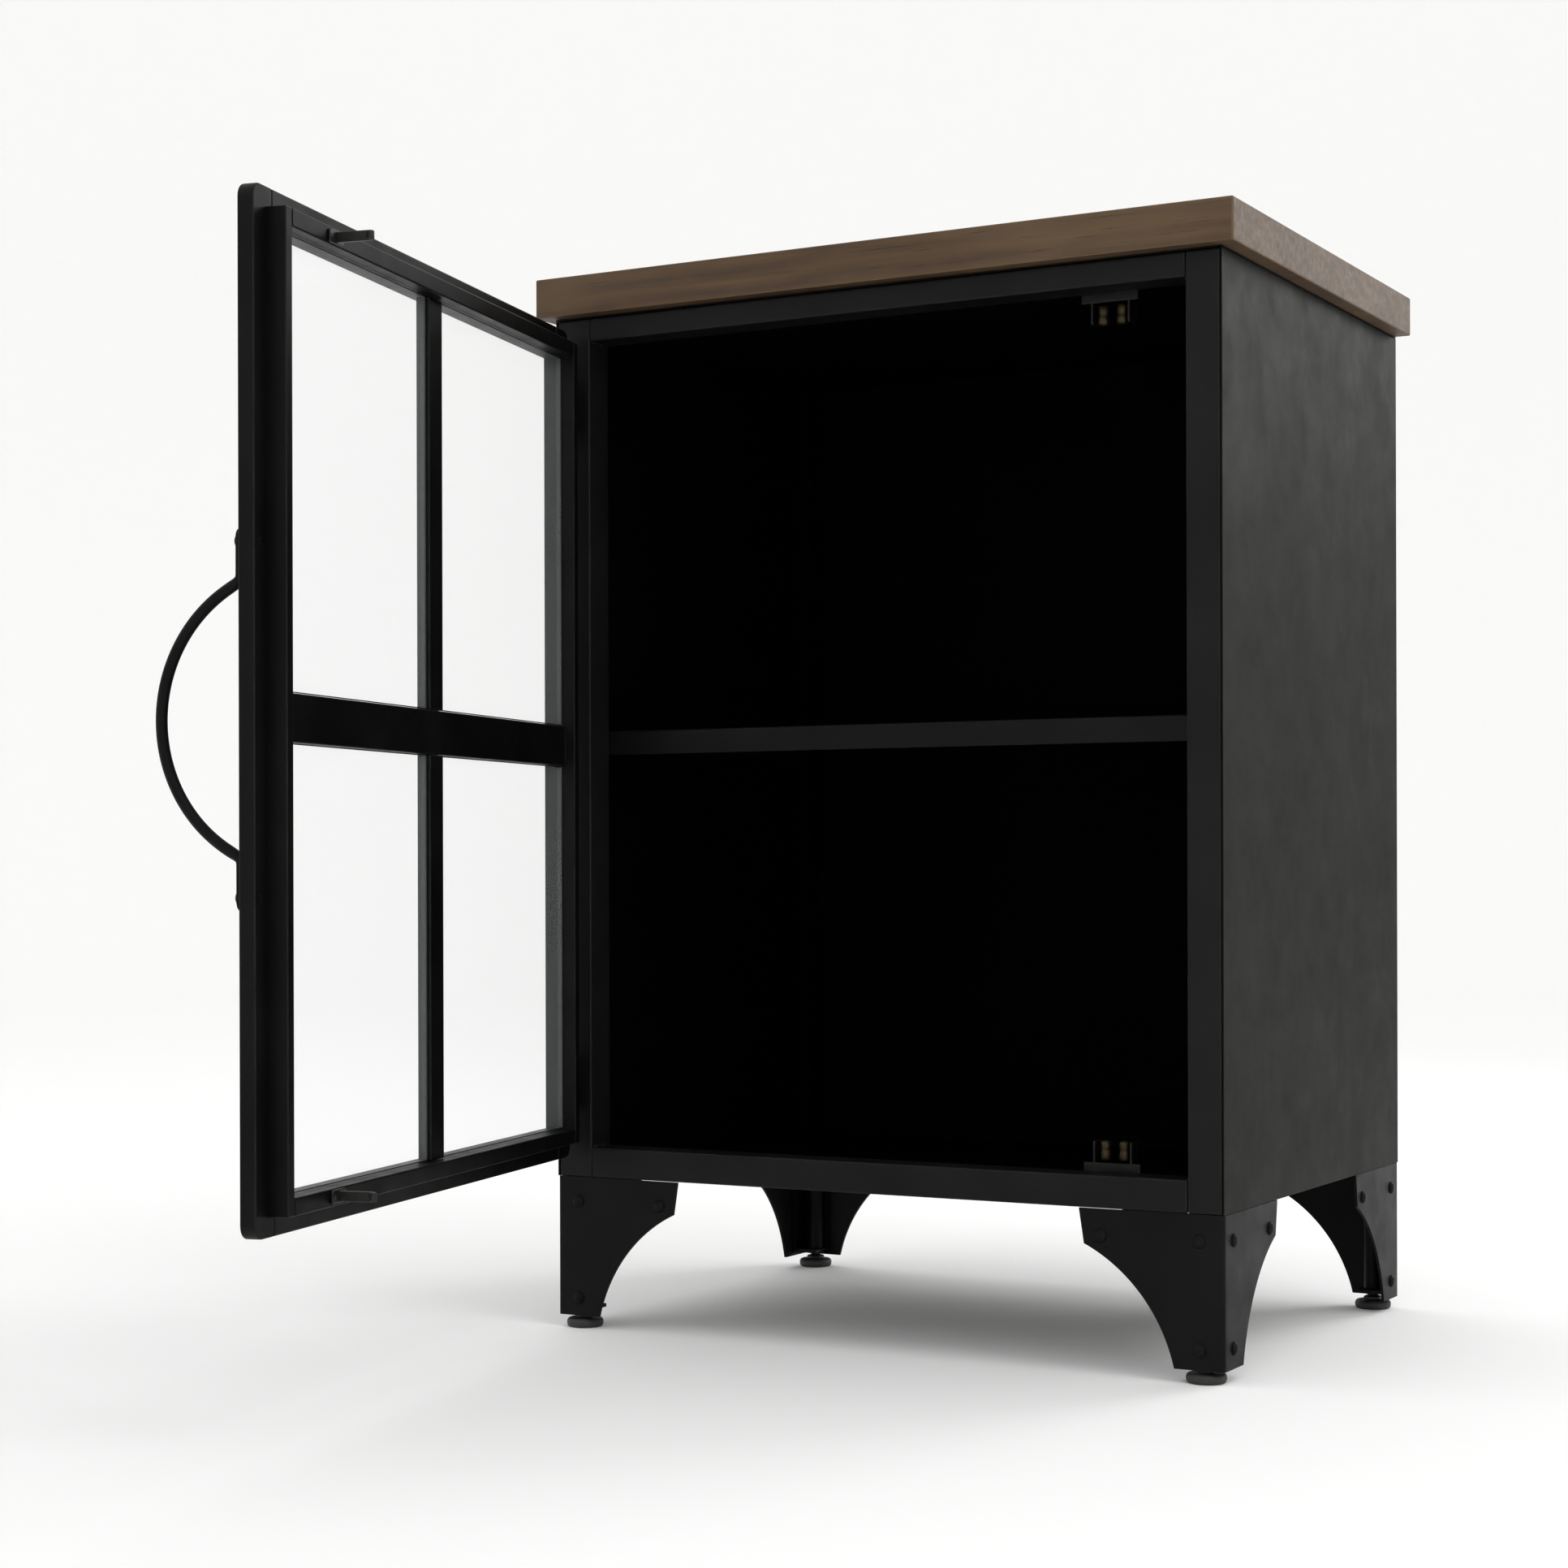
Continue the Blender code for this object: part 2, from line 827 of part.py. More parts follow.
# Handle: the section changes from a flat tab to a round rod along a bowed line
def handle_rise(height):
    """How far the middle of the rod stands off the leaf at a height above the handle's middle."""
    arc = np.sqrt(np.maximum(HANDLE_BOW**2 - height**2, 0.0)) - HANDLE_BOW + HANDLE_RISE
    flat_rise = FIT + END_THICK / 2
    blend = 2.5
    return flat_rise + blend * np.logaddexp(0.0, (arc - flat_rise) / blend)


def build_handle(work):
    half = HANDLE_LONG / 2
    bend = math.sqrt(HANDLE_BOW**2 - (HANDLE_BOW - HANDLE_RISE) ** 2)
    fine = np.linspace(-half, half, 2001)
    rise = handle_rise(fine)
    length = np.concatenate([[0.0], np.cumsum(np.hypot(np.diff(fine), np.diff(rise)))])
    stations = np.linspace(0.0, length[-1], 45)
    heights = np.interp(stations, length, fine)
    rises = np.interp(stations, length, rise)
    along_z = np.gradient(heights, stations)
    along_n = np.gradient(rises, stations)
    sides = 12
    rings = []
    for z, n, dz, dn in zip(heights, rises, along_z, along_n):
        size = math.hypot(dz, dn)
        normal = (dz / size, -dn / size)
        share = min(max((abs(z) - bend + 4.0) / 8.0, 0.0), 1.0)
        share = share * share * (3 - 2 * share)
        wide = ROD_RADIUS + (END_WIDE / 2 - ROD_RADIUS) * share
        thick = ROD_RADIUS + (END_THICK / 2 - ROD_RADIUS) * share
        thick = min(thick, n - FIT) if share > 0.5 else thick
        tip = max(half - abs(z), 0.0)
        if tip < END_WIDE / 2:
            wide *= math.sqrt(max(1 - (1 - tip / (END_WIDE / 2)) ** 2, 0.12))
        ring = []
        for side in range(sides):
            turn = math.tau * side / sides
            a = wide * math.cos(turn)
            b = thick * math.sin(turn)
            point = (handle_u + a, leaf_outer - n - b * normal[0], HANDLE_MIDDLE + z + b * normal[1])
            ring.append(work.verts.new(Vector(point) * MM))
        rings.append(ring)
    for low, high in zip(rings, rings[1:]):
        for side in range(sides):
            after = (side + 1) % sides
            work.faces.new((low[side], low[after], high[after], high[side]))
    work.faces.new(rings[0])
    work.faces.new(rings[-1])
    bmesh.ops.triangulate(work, faces=work.faces)


handle = new_object("handle", mesh_from("handle", build_handle), door, DARK_PAINT)
for level, height in rivet_levels:
    cut(
        handle,
        rod(
            "tab_hole_" + level,
            RIVET_SHANK + BORE_CLEARANCE,
            (handle_u, leaf_outer - 10, height),
            (handle_u, leaf_outer + 10, height),
            door,
        ),
    )
    head = leaf_outer - 2 * FIT - END_THICK
    tail = leaf_back - head - FIT
    profile = [
        (0.0, 1.9),
        (1.6, 1.7),
        (2.9, 1.1),
        (3.6, 0.0),
        (RIVET_SHANK, 0.0),
        (RIVET_SHANK, -tail),
        (0.0, -tail),
    ]
    pin = turned(
        "handle_rivet_" + level, profile, (handle_u, head, height), (0, -1, 0), door, DARK_PAINT
    )
    smooth(pin)

# Barrel hinges: the lower half stands on the frame and carries the pin, the upper half is on the leaf
for level, height in (
    ("bottom", leaf_low + HINGE_FROM_END),
    ("top", leaf_high - HINGE_FROM_END),
):
    base = (AXIS_X, AXIS_Y)
    lower = rod(
        "hinge_knuckle_frame_" + level,
        BARREL_RADIUS,
        (*base, height - BARREL_LONG),
        (*base, height - FIT),
        root,
        DARK_PAINT,
        32,
    )
    join(
        lower,
        rod(
            "hinge_pin_" + level,
            HINGE_PIN,
            (*base, height - 4),
            (*base, height + BARREL_LONG - 3),
            root,
        ),
        box(
            "frame_tab_" + level,
            (AXIS_X - TAB_THICK / 2, AXIS_Y + 1, height - BARREL_LONG + 0.6),
            (AXIS_X + TAB_THICK / 2, -FIT, height - FIT - 0.6),
            root,
        ),
    )
    upper = rod(
        "hinge_knuckle_door_" + level,
        BARREL_RADIUS,
        (0, 0, height),
        (0, 0, height + BARREL_LONG),
        door,
        DARK_PAINT,
        32,
    )
    join(
        upper,
        box(
            "leaf_tab_" + level,
            (1, -TAB_THICK / 2, height + 0.6),
            (LEAF_START - FIT, TAB_THICK / 2, height + BARREL_LONG - 0.6),
            door,
        ),
    )
    cut(
        upper,
        rod(
            "pin_bore_" + level,
            HINGE_PIN + 0.1,
            (0, 0, height - 5),
            (0, 0, height + BARREL_LONG - 2),
            door,
            segments=32,
        ),
    )

# Roller catches: a base with a front wall and two cheeks, and a pair of sprung rollers
catch_x = BODY_WIDTH - CATCH_FROM_SIDE
roller_x = ROLLER_GAP / 2 + ROLLER_RADIUS
cheek = roller_x + ROLLER_RADIUS + ROLLER_TRAVEL + 0.4
catch_y = CATCH_FRONT + CATCH_WALL + ROLLER_RADIUS + 1.2
mirror = 2 * opening_middle
for level, flip in (("bottom", False), ("top", True)):

    def level_of(z, flip=flip):
        return mirror - z if flip else z

    def catch_box(name, low, high, finish=None, level_of=level_of):
        a = level_of(low[2])
        b = level_of(high[2])
        return box(
            name, (low[0], low[1], min(a, b)), (high[0], high[1], max(a, b)), root, finish
        )

    seat_z = level_of(frame_top) if flip else floor_top + FIT
    wall_top = ROLLER_LOW - 1.0
    base_plate = catch_box(
        "catch_body_" + level,
        (catch_x - CATCH_WIDE / 2, CATCH_FRONT, seat_z),
        (catch_x + CATCH_WIDE / 2, CATCH_FRONT + CATCH_DEEP, seat_z + CATCH_WALL),
        ((0.32, 0.32, 0.31), 0.4, 1.0),
    )
    join(
        base_plate,
        catch_box(
            "catch_front_" + level,
            (catch_x - CATCH_WIDE / 2 + 0.2, CATCH_FRONT + 0.2, seat_z + 0.5),
            (catch_x + CATCH_WIDE / 2 - 0.2, CATCH_FRONT + CATCH_WALL, wall_top),
        ),
    )
    for tag, side in (("left", -1), ("right", 1)):
        near = catch_x + side * cheek
        far = catch_x + side * (cheek + CATCH_WALL)
        join(
            base_plate,
            catch_box(
                f"catch_cheek_{tag}_{level}",
                (min(near, far), CATCH_FRONT + 1.0, seat_z + 0.7),
                (max(near, far), CATCH_FRONT + CATCH_DEEP - 1, ROLLER_LOW + ROLLER_LONG),
            ),
        )
        roller = rod(
            f"catch_roller_{tag}_{level}",
            ROLLER_RADIUS,
            (catch_x + side * roller_x, catch_y, level_of(ROLLER_LOW)),
            (catch_x + side * roller_x, catch_y, level_of(ROLLER_LOW + ROLLER_LONG)),
            root,
            ((0.62, 0.47, 0.20), 0.35, 1.0),
        )
        soften(roller, 0.5)
        smooth(roller)

    # Tongue on the leaf's lip, with a bulb at its tip
    tongue_u = catch_x - AXIS_X
    tongue_z = level_of(TONGUE_Z)
    tip = catch_y - AXIS_Y + 0.5
    strike = box(
        "strike_" + level,
        (tongue_u - 9, lip_back + FIT, tongue_z - 4),
        (tongue_u + 9, lip_back + FIT + 1.5, tongue_z + 4),
        door,
        ((0.40, 0.39, 0.37), 0.4, 1.0),
    )
    join(
        strike,
        box(
            "tongue_" + level,
            (tongue_u - TONGUE_THICK / 2, lip_back + 1, tongue_z - TONGUE_HIGH / 2),
            (tongue_u + TONGUE_THICK / 2, tip, tongue_z + TONGUE_HIGH / 2),
            door,
        ),
        rod(
            "bulb_" + level,
            TONGUE_BULB,
            (tongue_u, tip, tongue_z - TONGUE_HIGH / 2 + 0.3),
            (tongue_u, tip, tongue_z + TONGUE_HIGH / 2 - 0.3),
            door,
        ),
    )

# The origin goes to the middle of the footprint of the box around the whole object, on the floor
bpy.context.view_layer.update()
graph = bpy.context.evaluated_depsgraph_get()
lows = []
highs = []
for shape in parts.objects:
    if shape.type != "MESH":
        continue
    solid = shape.evaluated_get(graph).to_mesh()
    corners = np.array([shape.matrix_world @ v.co for v in solid.vertices])
    lows.append(corners.min(axis=0))
    highs.append(corners.max(axis=0))
low = np.min(lows, axis=0)
high = np.max(highs, axis=0)
shift = np.array([(low[0] + high[0]) / 2, (low[1] + high[1]) / 2, low[2]])
root.location = [-float(value) for value in shift]
print("moved by", root.location[:], "size", high - low)
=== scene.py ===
# Small steel side cabinet with a wood top, one glazed door standing open, folded legs on levelling feet.
import json
import math

import bmesh
import bpy
import numpy as np
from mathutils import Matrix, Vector


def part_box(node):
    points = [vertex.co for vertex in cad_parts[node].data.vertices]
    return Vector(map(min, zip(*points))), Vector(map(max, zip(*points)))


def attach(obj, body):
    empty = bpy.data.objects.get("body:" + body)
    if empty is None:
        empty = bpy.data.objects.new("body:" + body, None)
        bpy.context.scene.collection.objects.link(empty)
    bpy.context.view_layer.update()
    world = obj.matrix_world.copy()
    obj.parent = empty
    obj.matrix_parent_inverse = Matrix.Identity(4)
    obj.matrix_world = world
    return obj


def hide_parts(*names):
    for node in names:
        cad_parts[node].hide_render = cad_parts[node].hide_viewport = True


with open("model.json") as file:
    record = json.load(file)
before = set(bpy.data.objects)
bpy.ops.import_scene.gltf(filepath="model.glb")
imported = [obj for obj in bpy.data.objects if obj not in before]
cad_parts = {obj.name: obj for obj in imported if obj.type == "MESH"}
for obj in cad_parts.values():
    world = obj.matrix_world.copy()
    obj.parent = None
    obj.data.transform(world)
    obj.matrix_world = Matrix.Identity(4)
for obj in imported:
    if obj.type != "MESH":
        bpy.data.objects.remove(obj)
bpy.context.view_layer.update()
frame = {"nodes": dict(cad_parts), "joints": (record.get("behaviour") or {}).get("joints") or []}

mm = 0.001
print("frame loaded")

# places: the body's own corner and the door's own frame, both in millimetres

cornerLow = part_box("side_panel_left")[0]
bodyCorner = np.array([cornerLow.x, cornerLow.y, 0.0])
hingeJoint = next(j for j in frame["joints"] if j["name"] == "door_hinge")
hingePoint = np.array([hingeJoint["pos_m"][0], hingeJoint["pos_m"][1], 0.0])
openAngle = math.radians(-hingeJoint["range_deg"][0])
alongLeaf = np.array([math.cos(openAngle), -math.sin(openAngle), 0.0])
throughLeaf = np.array([math.sin(openAngle), math.cos(openAngle), 0.0])
upward = np.array([0.0, 0.0, 1.0])


def fromBody(points):
    # body millimetres to the shared frame: corner plus the point
    return bodyCorner + np.asarray(points, float) * mm


def fromLeaf(points):
    # leaf millimetres (along the leaf, through it, up) to the shared frame: hinge line plus each
    # share of its axis
    p = np.asarray(points, float) * mm
    return hingePoint + p[..., :1] * alongLeaf + p[..., 1:2] * throughLeaf + p[..., 2:] * upward


def bodyBox(node):
    low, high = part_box(node)
    return (np.array(low) - bodyCorner) / mm, (np.array(high) - bodyCorner) / mm


def leafBox(node):
    # the node's box along the leaf's own axes, from its vertices
    mesh = frame["nodes"][node].data
    flat = np.zeros(len(mesh.vertices) * 3)
    mesh.vertices.foreach_get("co", flat)
    p = (flat.reshape(-1, 3) - hingePoint) / mm
    own = np.stack([p @ alongLeaf, p @ throughLeaf, p[:, 2]], axis=1)
    return own.min(0), own.max(0)


# surfaces


def tubeShell(rings, edgeWearAndHighlight=None):
    # a closed skin over rings that follow one another: four-sided faces between neighbours, one
    # flat face at each end
    rings = np.asarray(rings, float)
    count, around = rings.shape[:2]
    index = np.arange(count * around).reshape(count, around)
    after = np.roll(index, -1, axis=1)
    quads = np.stack([index[:-1], after[:-1], after[1:], index[1:]], axis=-1).reshape(-1, 4)
    caps = [index[0][::-1].tolist(), index[-1].tolist()]
    wornAndHighlitEdge = np.zeros((count, around)) if edgeWearAndHighlight is None else np.broadcast_to(edgeWearAndHighlight, (count, around))
    return rings.reshape(-1, 3), quads.tolist() + caps, wornAndHighlitEdge.reshape(-1)


def roundRing(low, high, radii, inset, steps, hold):
    # an outline of four quarter circles: centre plus radius times (cos, sin), with a holding point
    # before and after
    signs = np.array([[1, -1], [1, 1], [-1, 1], [-1, -1]])
    corner = np.where(signs > 0, high, low)
    radii = np.asarray(radii, float)
    centre = corner - signs * np.maximum(radii, inset)[:, None]
    reach = np.maximum(radii - inset, 0.0)[:, None]
    start = np.radians([-90.0, 0.0, 90.0, 180.0])[:, None]
    turn = start + np.linspace(0.0, math.pi / 2, steps + 1)[None, :]
    a = centre[:, :1] + reach * np.cos(turn)
    b = centre[:, 1:] + reach * np.sin(turn)
    tangent = np.stack([-np.sin(turn), np.cos(turn)], axis=-1)
    arc = np.stack([a, b], axis=-1)
    before = arc[:, :1] - hold * tangent[:, :1]
    behind = arc[:, -1:] + hold * tangent[:, -1:]
    points = np.concatenate([before, arc, behind], axis=1).reshape(-1, 2)
    # mask for the paler edge tone, rubbed paint and a painted edge highlight in one, peaking halfway round
    # each arc
    wornAndHighlitEdge = np.sin(2 * (turn - start)) * (radii[:, None] > 0)
    blank = np.zeros((4, 1))
    return points, np.concatenate([blank, wornAndHighlitEdge, blank], axis=1).reshape(-1)


def roundedPlate(low, high, edge, place=fromBody, radii=None, axis=2, steps=3, hold=0.3):
    # a block whose edges are quarter circles: outlines inset by edge (1 - cos t) at depths edge (1
    # - sin t) from each face
    order = [(1, 2, 0), (2, 0, 1), (0, 1, 2)][axis]
    low, high = np.asarray(low, float), np.asarray(high, float)
    flatLow, flatHigh = low[[order[0], order[1]]], high[[order[0], order[1]]]
    start, end = low[order[2]], high[order[2]]
    edge = min(edge, (end - start) * 0.45, (flatHigh - flatLow).min() * 0.45)
    hold = min(hold, (end - start) * 0.04, (flatHigh - flatLow).min() * 0.04)
    radii = [edge] * 4 if radii is None else radii
    t = np.linspace(0.0, math.pi / 2, steps + 1)
    inset = np.concatenate([[edge + hold], edge * (1 - np.sin(t)), [0.0]])
    depth = np.concatenate([[0.0], edge * (1 - np.cos(t)), [edge + hold]])
    # the same edge mask along the rounded edges of the faces: rubbed paint and a painted edge highlight
    wornAndHighlitEdge = np.concatenate([[0.0], np.sin(2 * t), [0.0]])
    stack = [(i, start + d, w) for i, d, w in zip(inset, depth, wornAndHighlitEdge)]
    stack += [(i, end - d, w) for i, d, w in zip(inset[::-1], depth[::-1], wornAndHighlitEdge[::-1])]
    rings, edgeWearAndHighlight = [], []
    for i, d, w in stack:
        outline, ringWearAndHighlight = roundRing(flatLow, flatHigh, radii, i, steps, hold)
        points = np.zeros((len(outline), 3))
        points[:, order[0]], points[:, order[1]], points[:, order[2]] = outline[:, 0], outline[:, 1], d
        rings.append(points)
        edgeWearAndHighlight.append(np.maximum(ringWearAndHighlight * (i < edge), w))
    return tubeShell(place(np.array(rings)), np.array(edgeWearAndHighlight))


def turnedShell(profile, base, direction, place=fromBody, sides=40, shape=None):
    # a profile of (radius, height) turned about an axis: base + height * axis + radius * (cos, sin)
    # across it
    profile = np.asarray(profile, float)
    axis = np.asarray(direction, float)
    axis = axis / np.linalg.norm(axis)
    across = np.cross(axis, [0.0, 0.0, 1.0] if abs(axis[2]) < 0.9 else [1.0, 0.0, 0.0])
    across = across / np.linalg.norm(across)
    third = np.cross(axis, across)
    turn = np.linspace(0.0, math.tau, sides, endpoint=False)
    spread = np.ones(sides) if shape is None else shape(turn)
    radius = profile[:, :1] * spread[None, :]
    ring = radius[..., None] * (np.cos(turn)[:, None] * across + np.sin(turn)[:, None] * third)[None]
    points = np.asarray(base, float) + profile[:, 1][:, None, None] * axis + ring
    return tubeShell(place(points))


def domeProfile(radius, height, skirt=0.35, steps=7):
    # a rivet head: a short upright skirt, then an ellipse up to the crown
    t = np.linspace(0.0, math.pi / 2, steps)
    rows = [(radius * math.cos(a), skirt + (height - skirt) * math.sin(a)) for a in t]
    return [(0.0, -0.6), (radius * 0.96, -0.6), (radius * 0.96, 0.0), *rows[:-1], (0.0, height)]


def beadShell(start, end, radius, pitch, place, flatten=(1.0, 1.0), seed=0):
    # a weld bead: a rod whose radius ripples as 1 + 0.16 |sin| along its length and tapers at both ends
    start, end = np.asarray(start, float), np.asarray(end, float)
    length = np.linalg.norm(end - start)
    along = (end - start) / length
    across = np.cross(along, [0.3, 0.5, 0.81])
    across /= np.linalg.norm(across)
    third = np.cross(along, across)
    count = max(int(length / pitch * 6), 8)
    s = np.linspace(0.0, 1.0, count + 1)
    noise = np.random.default_rng(seed).normal(0.0, 0.05, count + 1)
    taper = np.sqrt(np.clip(1 - (2 * s - 1) ** 8, 0.0, 1.0))
    size = radius * (0.84 + 0.22 * np.abs(np.sin(math.pi * s * length / pitch)) + noise) * taper
    turn = np.linspace(0.0, math.tau, 10, endpoint=False)
    ring = np.cos(turn)[:, None] * across * flatten[0] + np.sin(turn)[:, None] * third * flatten[1]
    points = start + s[:, None, None] * (end - start) + size[:, None, None] * ring[None]
    return tubeShell(place(points))


def addPiece(name, shells, material, body, replaced=(), angle=38):
    # puts the shells in one mesh, closes seams and poles, turns faces outwards and rides on the body
    points, faces, edgeWearAndHighlight, offset = [], [], [], 0
    for shellPoints, shellFaces, shellWearAndHighlight in shells:
        points.append(shellPoints)
        edgeWearAndHighlight.append(shellWearAndHighlight)
        faces += [[i + offset for i in face] for face in shellFaces]
        offset += len(shellPoints)
    mesh = bpy.data.meshes.new(name)
    mesh.from_pydata(np.concatenate(points).tolist(), [], faces)
    mesh.attributes.new("edgeWearAndHighlight", "FLOAT", "POINT").data.foreach_set(
        "value",
        np.concatenate(edgeWearAndHighlight).astype(np.float32),
    )
    work = bmesh.new()
    work.from_mesh(mesh)
    bmesh.ops.remove_doubles(work, verts=work.verts, dist=1e-6)
    bmesh.ops.dissolve_degenerate(work, edges=work.edges, dist=1e-7)
    bmesh.ops.recalc_face_normals(work, faces=work.faces)
    work.to_mesh(mesh)
    work.free()
    mesh.shade_smooth()
    mesh.set_sharp_from_angle(angle=math.radians(angle))
    mesh.materials.append(material)
    piece = bpy.data.objects.new(name, mesh)
    bpy.context.scene.collection.objects.link(piece)
    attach(piece, body)
    if replaced:
        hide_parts(*replaced)
    return piece


# finishes


def newFinish(name):
    material = bpy.data.materials.new(name)
    material.use_nodes = True
    return material, material.node_tree, material.node_tree.nodes["Principled BSDF"]


def addNode(tree, kind, inputs=None, **settings):
    node = tree.nodes.new(kind)
    for key, value in settings.items():
        setattr(node, key, value)
    for key, value in (inputs or {}).items():
        if isinstance(value, bpy.types.NodeSocket):
            tree.links.new(value, node.inputs[key])
        else:
            node.inputs[key].default_value = value
    return node


def noiseValue(tree, vector, scale, detail=3.0, roughness=0.55):
    return addNode(
        tree, "ShaderNodeTexNoise", {
            "Vector": vector,
            "Scale": scale,
            "Detail": detail,
            "Roughness": roughness,
        }
    ).outputs["Fac"]


def span(tree, value, low, high, fromLow=0.3, fromHigh=0.7):
    return addNode(
        tree,
        "ShaderNodeMapRange",
        {"Value": value, "From Min": fromLow, "From Max": fromHigh, "To Min": low, "To Max": high},
    ).outputs["Result"]


def mixColour(tree, share, first, second, blend="MIX"):
    node = addNode(tree, "ShaderNodeMix", data_type="RGBA", blend_type=blend)
    for socket, value in (
        (node.inputs["Factor"], share),
        (node.inputs["A"], first),
        (node.inputs["B"], second),
    ):
        target = socket
        if socket.name in ("A", "B"):
            target = [s for s in node.inputs if s.name == socket.name and s.type == "RGBA"][0]
        if isinstance(value, bpy.types.NodeSocket):
            tree.links.new(value, target)
        else:
            target.default_value = value if isinstance(value, (float, int)) else (*value, 1.0)
    return [s for s in node.outputs if s.type == "RGBA"][0]


def powderCoat(name, finish):
    # cloudy tone, fine orange-peel relief, patchy gloss, paler edges that are rubbed paint and a painted
    # edge highlight in one; faces past a limit can take a dark painted shade tone
    material, tree, surface = newFinish(name)
    place = addNode(tree, "ShaderNodeTexCoord").outputs["Object"]
    clouds = noiseValue(tree, place, finish["cloudScale"], 4.0)
    specks = noiseValue(tree, place, 900.0, 2.0)
    tone = mixColour(tree, span(tree, clouds, 0.0, 1.0), finish["dark"], finish["light"])
    tone = mixColour(tree, span(tree, specks, 0.0, 0.35, 0.55, 0.8), tone, finish["speck"])
    # paler edges: rubbed paint and a painted edge highlight in one, strongest halfway round each rounded
    # edge
    wornAndHighlitEdge = addNode(tree, "ShaderNodeAttribute", attribute_name="edgeWearAndHighlight").outputs["Fac"]
    patchy = addNode(
        tree, "ShaderNodeMath", {
            0: wornAndHighlitEdge,
            1: span(tree, noiseValue(tree, place, 60.0, 4.0), 0.2, 1.0),
        }, operation="MULTIPLY"
    ).outputs[0]
    share = addNode(tree, "ShaderNodeMath", {0: patchy, 1: finish["edgeWearAndHighlight"]}, operation="MULTIPLY").outputs[0]
    tone = mixColour(tree, share, tone, finish["edge"])
    # painted shade: faces beyond the limit take a dark tone standing for the shade inside the cabinet
    if "shadedSide" in finish:
        axis, limit, sign = finish["shadedSide"]
        along = addNode(tree, "ShaderNodeSeparateXYZ", {"Vector": place}).outputs[axis]
        inner = addNode(
            tree, "ShaderNodeMath", {
                0: along,
                1: limit,
            }, operation="GREATER_THAN" if sign > 0 else "LESS_THAN"
        ).outputs[0]
        tone = mixColour(tree, inner, tone, finish["shadeTone"])
    tree.links.new(tone, surface.inputs["Base Color"])
    low, high = finish["roughness"]
    gloss = noiseValue(tree, place, finish["glossScale"], 5.0, 0.6)
    tree.links.new(span(tree, gloss, low, high), surface.inputs["Roughness"])
    peel = noiseValue(tree, place, finish["peelScale"], 2.0)
    relief = addNode(
        tree, "ShaderNodeBump", {"Height": peel, "Strength": finish["peel"], "Distance": 0.0002}
    ).outputs["Normal"]
    tree.links.new(relief, surface.inputs["Normal"])
    surface.inputs["Specular IOR Level"].default_value = finish["specular"]
    surface.inputs["Coat Weight"].default_value = finish.get("coat", 0.0)
    surface.inputs["Coat Roughness"].default_value = 0.25
    return material


def plainMetal(name, finish):
    # plated or bare metal: cloudy tone, fine scratches along one axis, uneven gloss
    material, tree, surface = newFinish(name)
    place = addNode(tree, "ShaderNodeTexCoord").outputs["Object"]
    stretched = addNode(
        tree,
        "ShaderNodeMapping",
        {"Vector": place, "Scale": finish["stretch"]},
    ).outputs["Vector"]
    clouds = noiseValue(tree, place, 140.0, 4.0)
    scratches = noiseValue(tree, stretched, 500.0, 3.0)
    tone = mixColour(tree, span(tree, clouds, 0.0, 1.0), finish["dark"], finish["light"])
    tone = mixColour(tree, span(tree, scratches, 0.0, 0.5, 0.5, 0.75), tone, finish["scratch"])
    tree.links.new(tone, surface.inputs["Base Color"])
    low, high = finish["roughness"]
    tree.links.new(span(tree, scratches, low, high), surface.inputs["Roughness"])
    relief = addNode(
        tree, "ShaderNodeBump", {"Height": scratches, "Strength": 0.12, "Distance": 0.0001}
    ).outputs["Normal"]
    tree.links.new(relief, surface.inputs["Normal"])
    surface.inputs["Metallic"].default_value = finish["metal"]
    return material


blackCoat = {
    "dark": (0.0016, 0.0017, 0.0017),
    "light": (0.0042, 0.0042, 0.0041),
    "speck": (0.010, 0.010, 0.0095),
    # edge: paler tone on rounded edges, rubbed paint and a painted edge highlight in one
    "edge": (0.030, 0.029, 0.027),
    "edgeWearAndHighlight": 0.45,
    "cloudScale": 14.0,
    "glossScale": 34.0,
    "roughness": (0.36, 0.50),
    "peel": 0.22,
    "peelScale": 700.0,
    "specular": 0.10,
}
frameCoat = {
    **blackCoat,
    "dark": (0.0050, 0.0052, 0.0052),
    "light": (0.0100, 0.0101, 0.0098),
    "specular": 0.11,
}
# painted shade: the legs take a darker copy of the black coat, standing for the shade low under the body
legShadeCoat = {
    **blackCoat,
    "dark": (0.0024, 0.0025, 0.0025),
    "light": (0.0056, 0.0056, 0.0054),
    "specular": 0.09,
}
greyCoat = {
    **blackCoat,
    "dark": (0.0100, 0.0099, 0.0092),
    "light": (0.0150, 0.0148, 0.0139),
    "speck": (0.026, 0.0255, 0.024),
    "cloudScale": 9.0,
    "roughness": (0.42, 0.54),
    "peel": 0.26,
    "specular": 0.035,
}
# painted shade: this near-black tone and the inside coat below stand for the shade inside the cabinet, not
# a second paint
shadeDark = (0.0011, 0.0014, 0.0012)
insideShadeCoat = {
    **blackCoat,
    "dark": shadeDark,
    "light": (0.0017, 0.0020, 0.0018),
    "speck": (0.003, 0.003, 0.003),
    "specular": 0.012,
    "roughness": (0.55, 0.7),
}
# painted shade: the shelf takes a darker copy of the frame's coat, standing for the shade inside the
# cabinet
shelfShadeCoat = {
    **blackCoat,
    "dark": (0.0032, 0.0034, 0.0033),
    "light": (0.0058, 0.0059, 0.0057),
    "specular": 0.10,
}
blackPaint = powderCoat("blackPaint", blackCoat)
framePaint = powderCoat("framePaint", frameCoat)
legShadePaint = powderCoat("legShadePaint", legShadeCoat)
insideShadePaint = powderCoat("insideShadePaint", insideShadeCoat)
shelfShadePaint = powderCoat("shelfShadePaint", shelfShadeCoat)


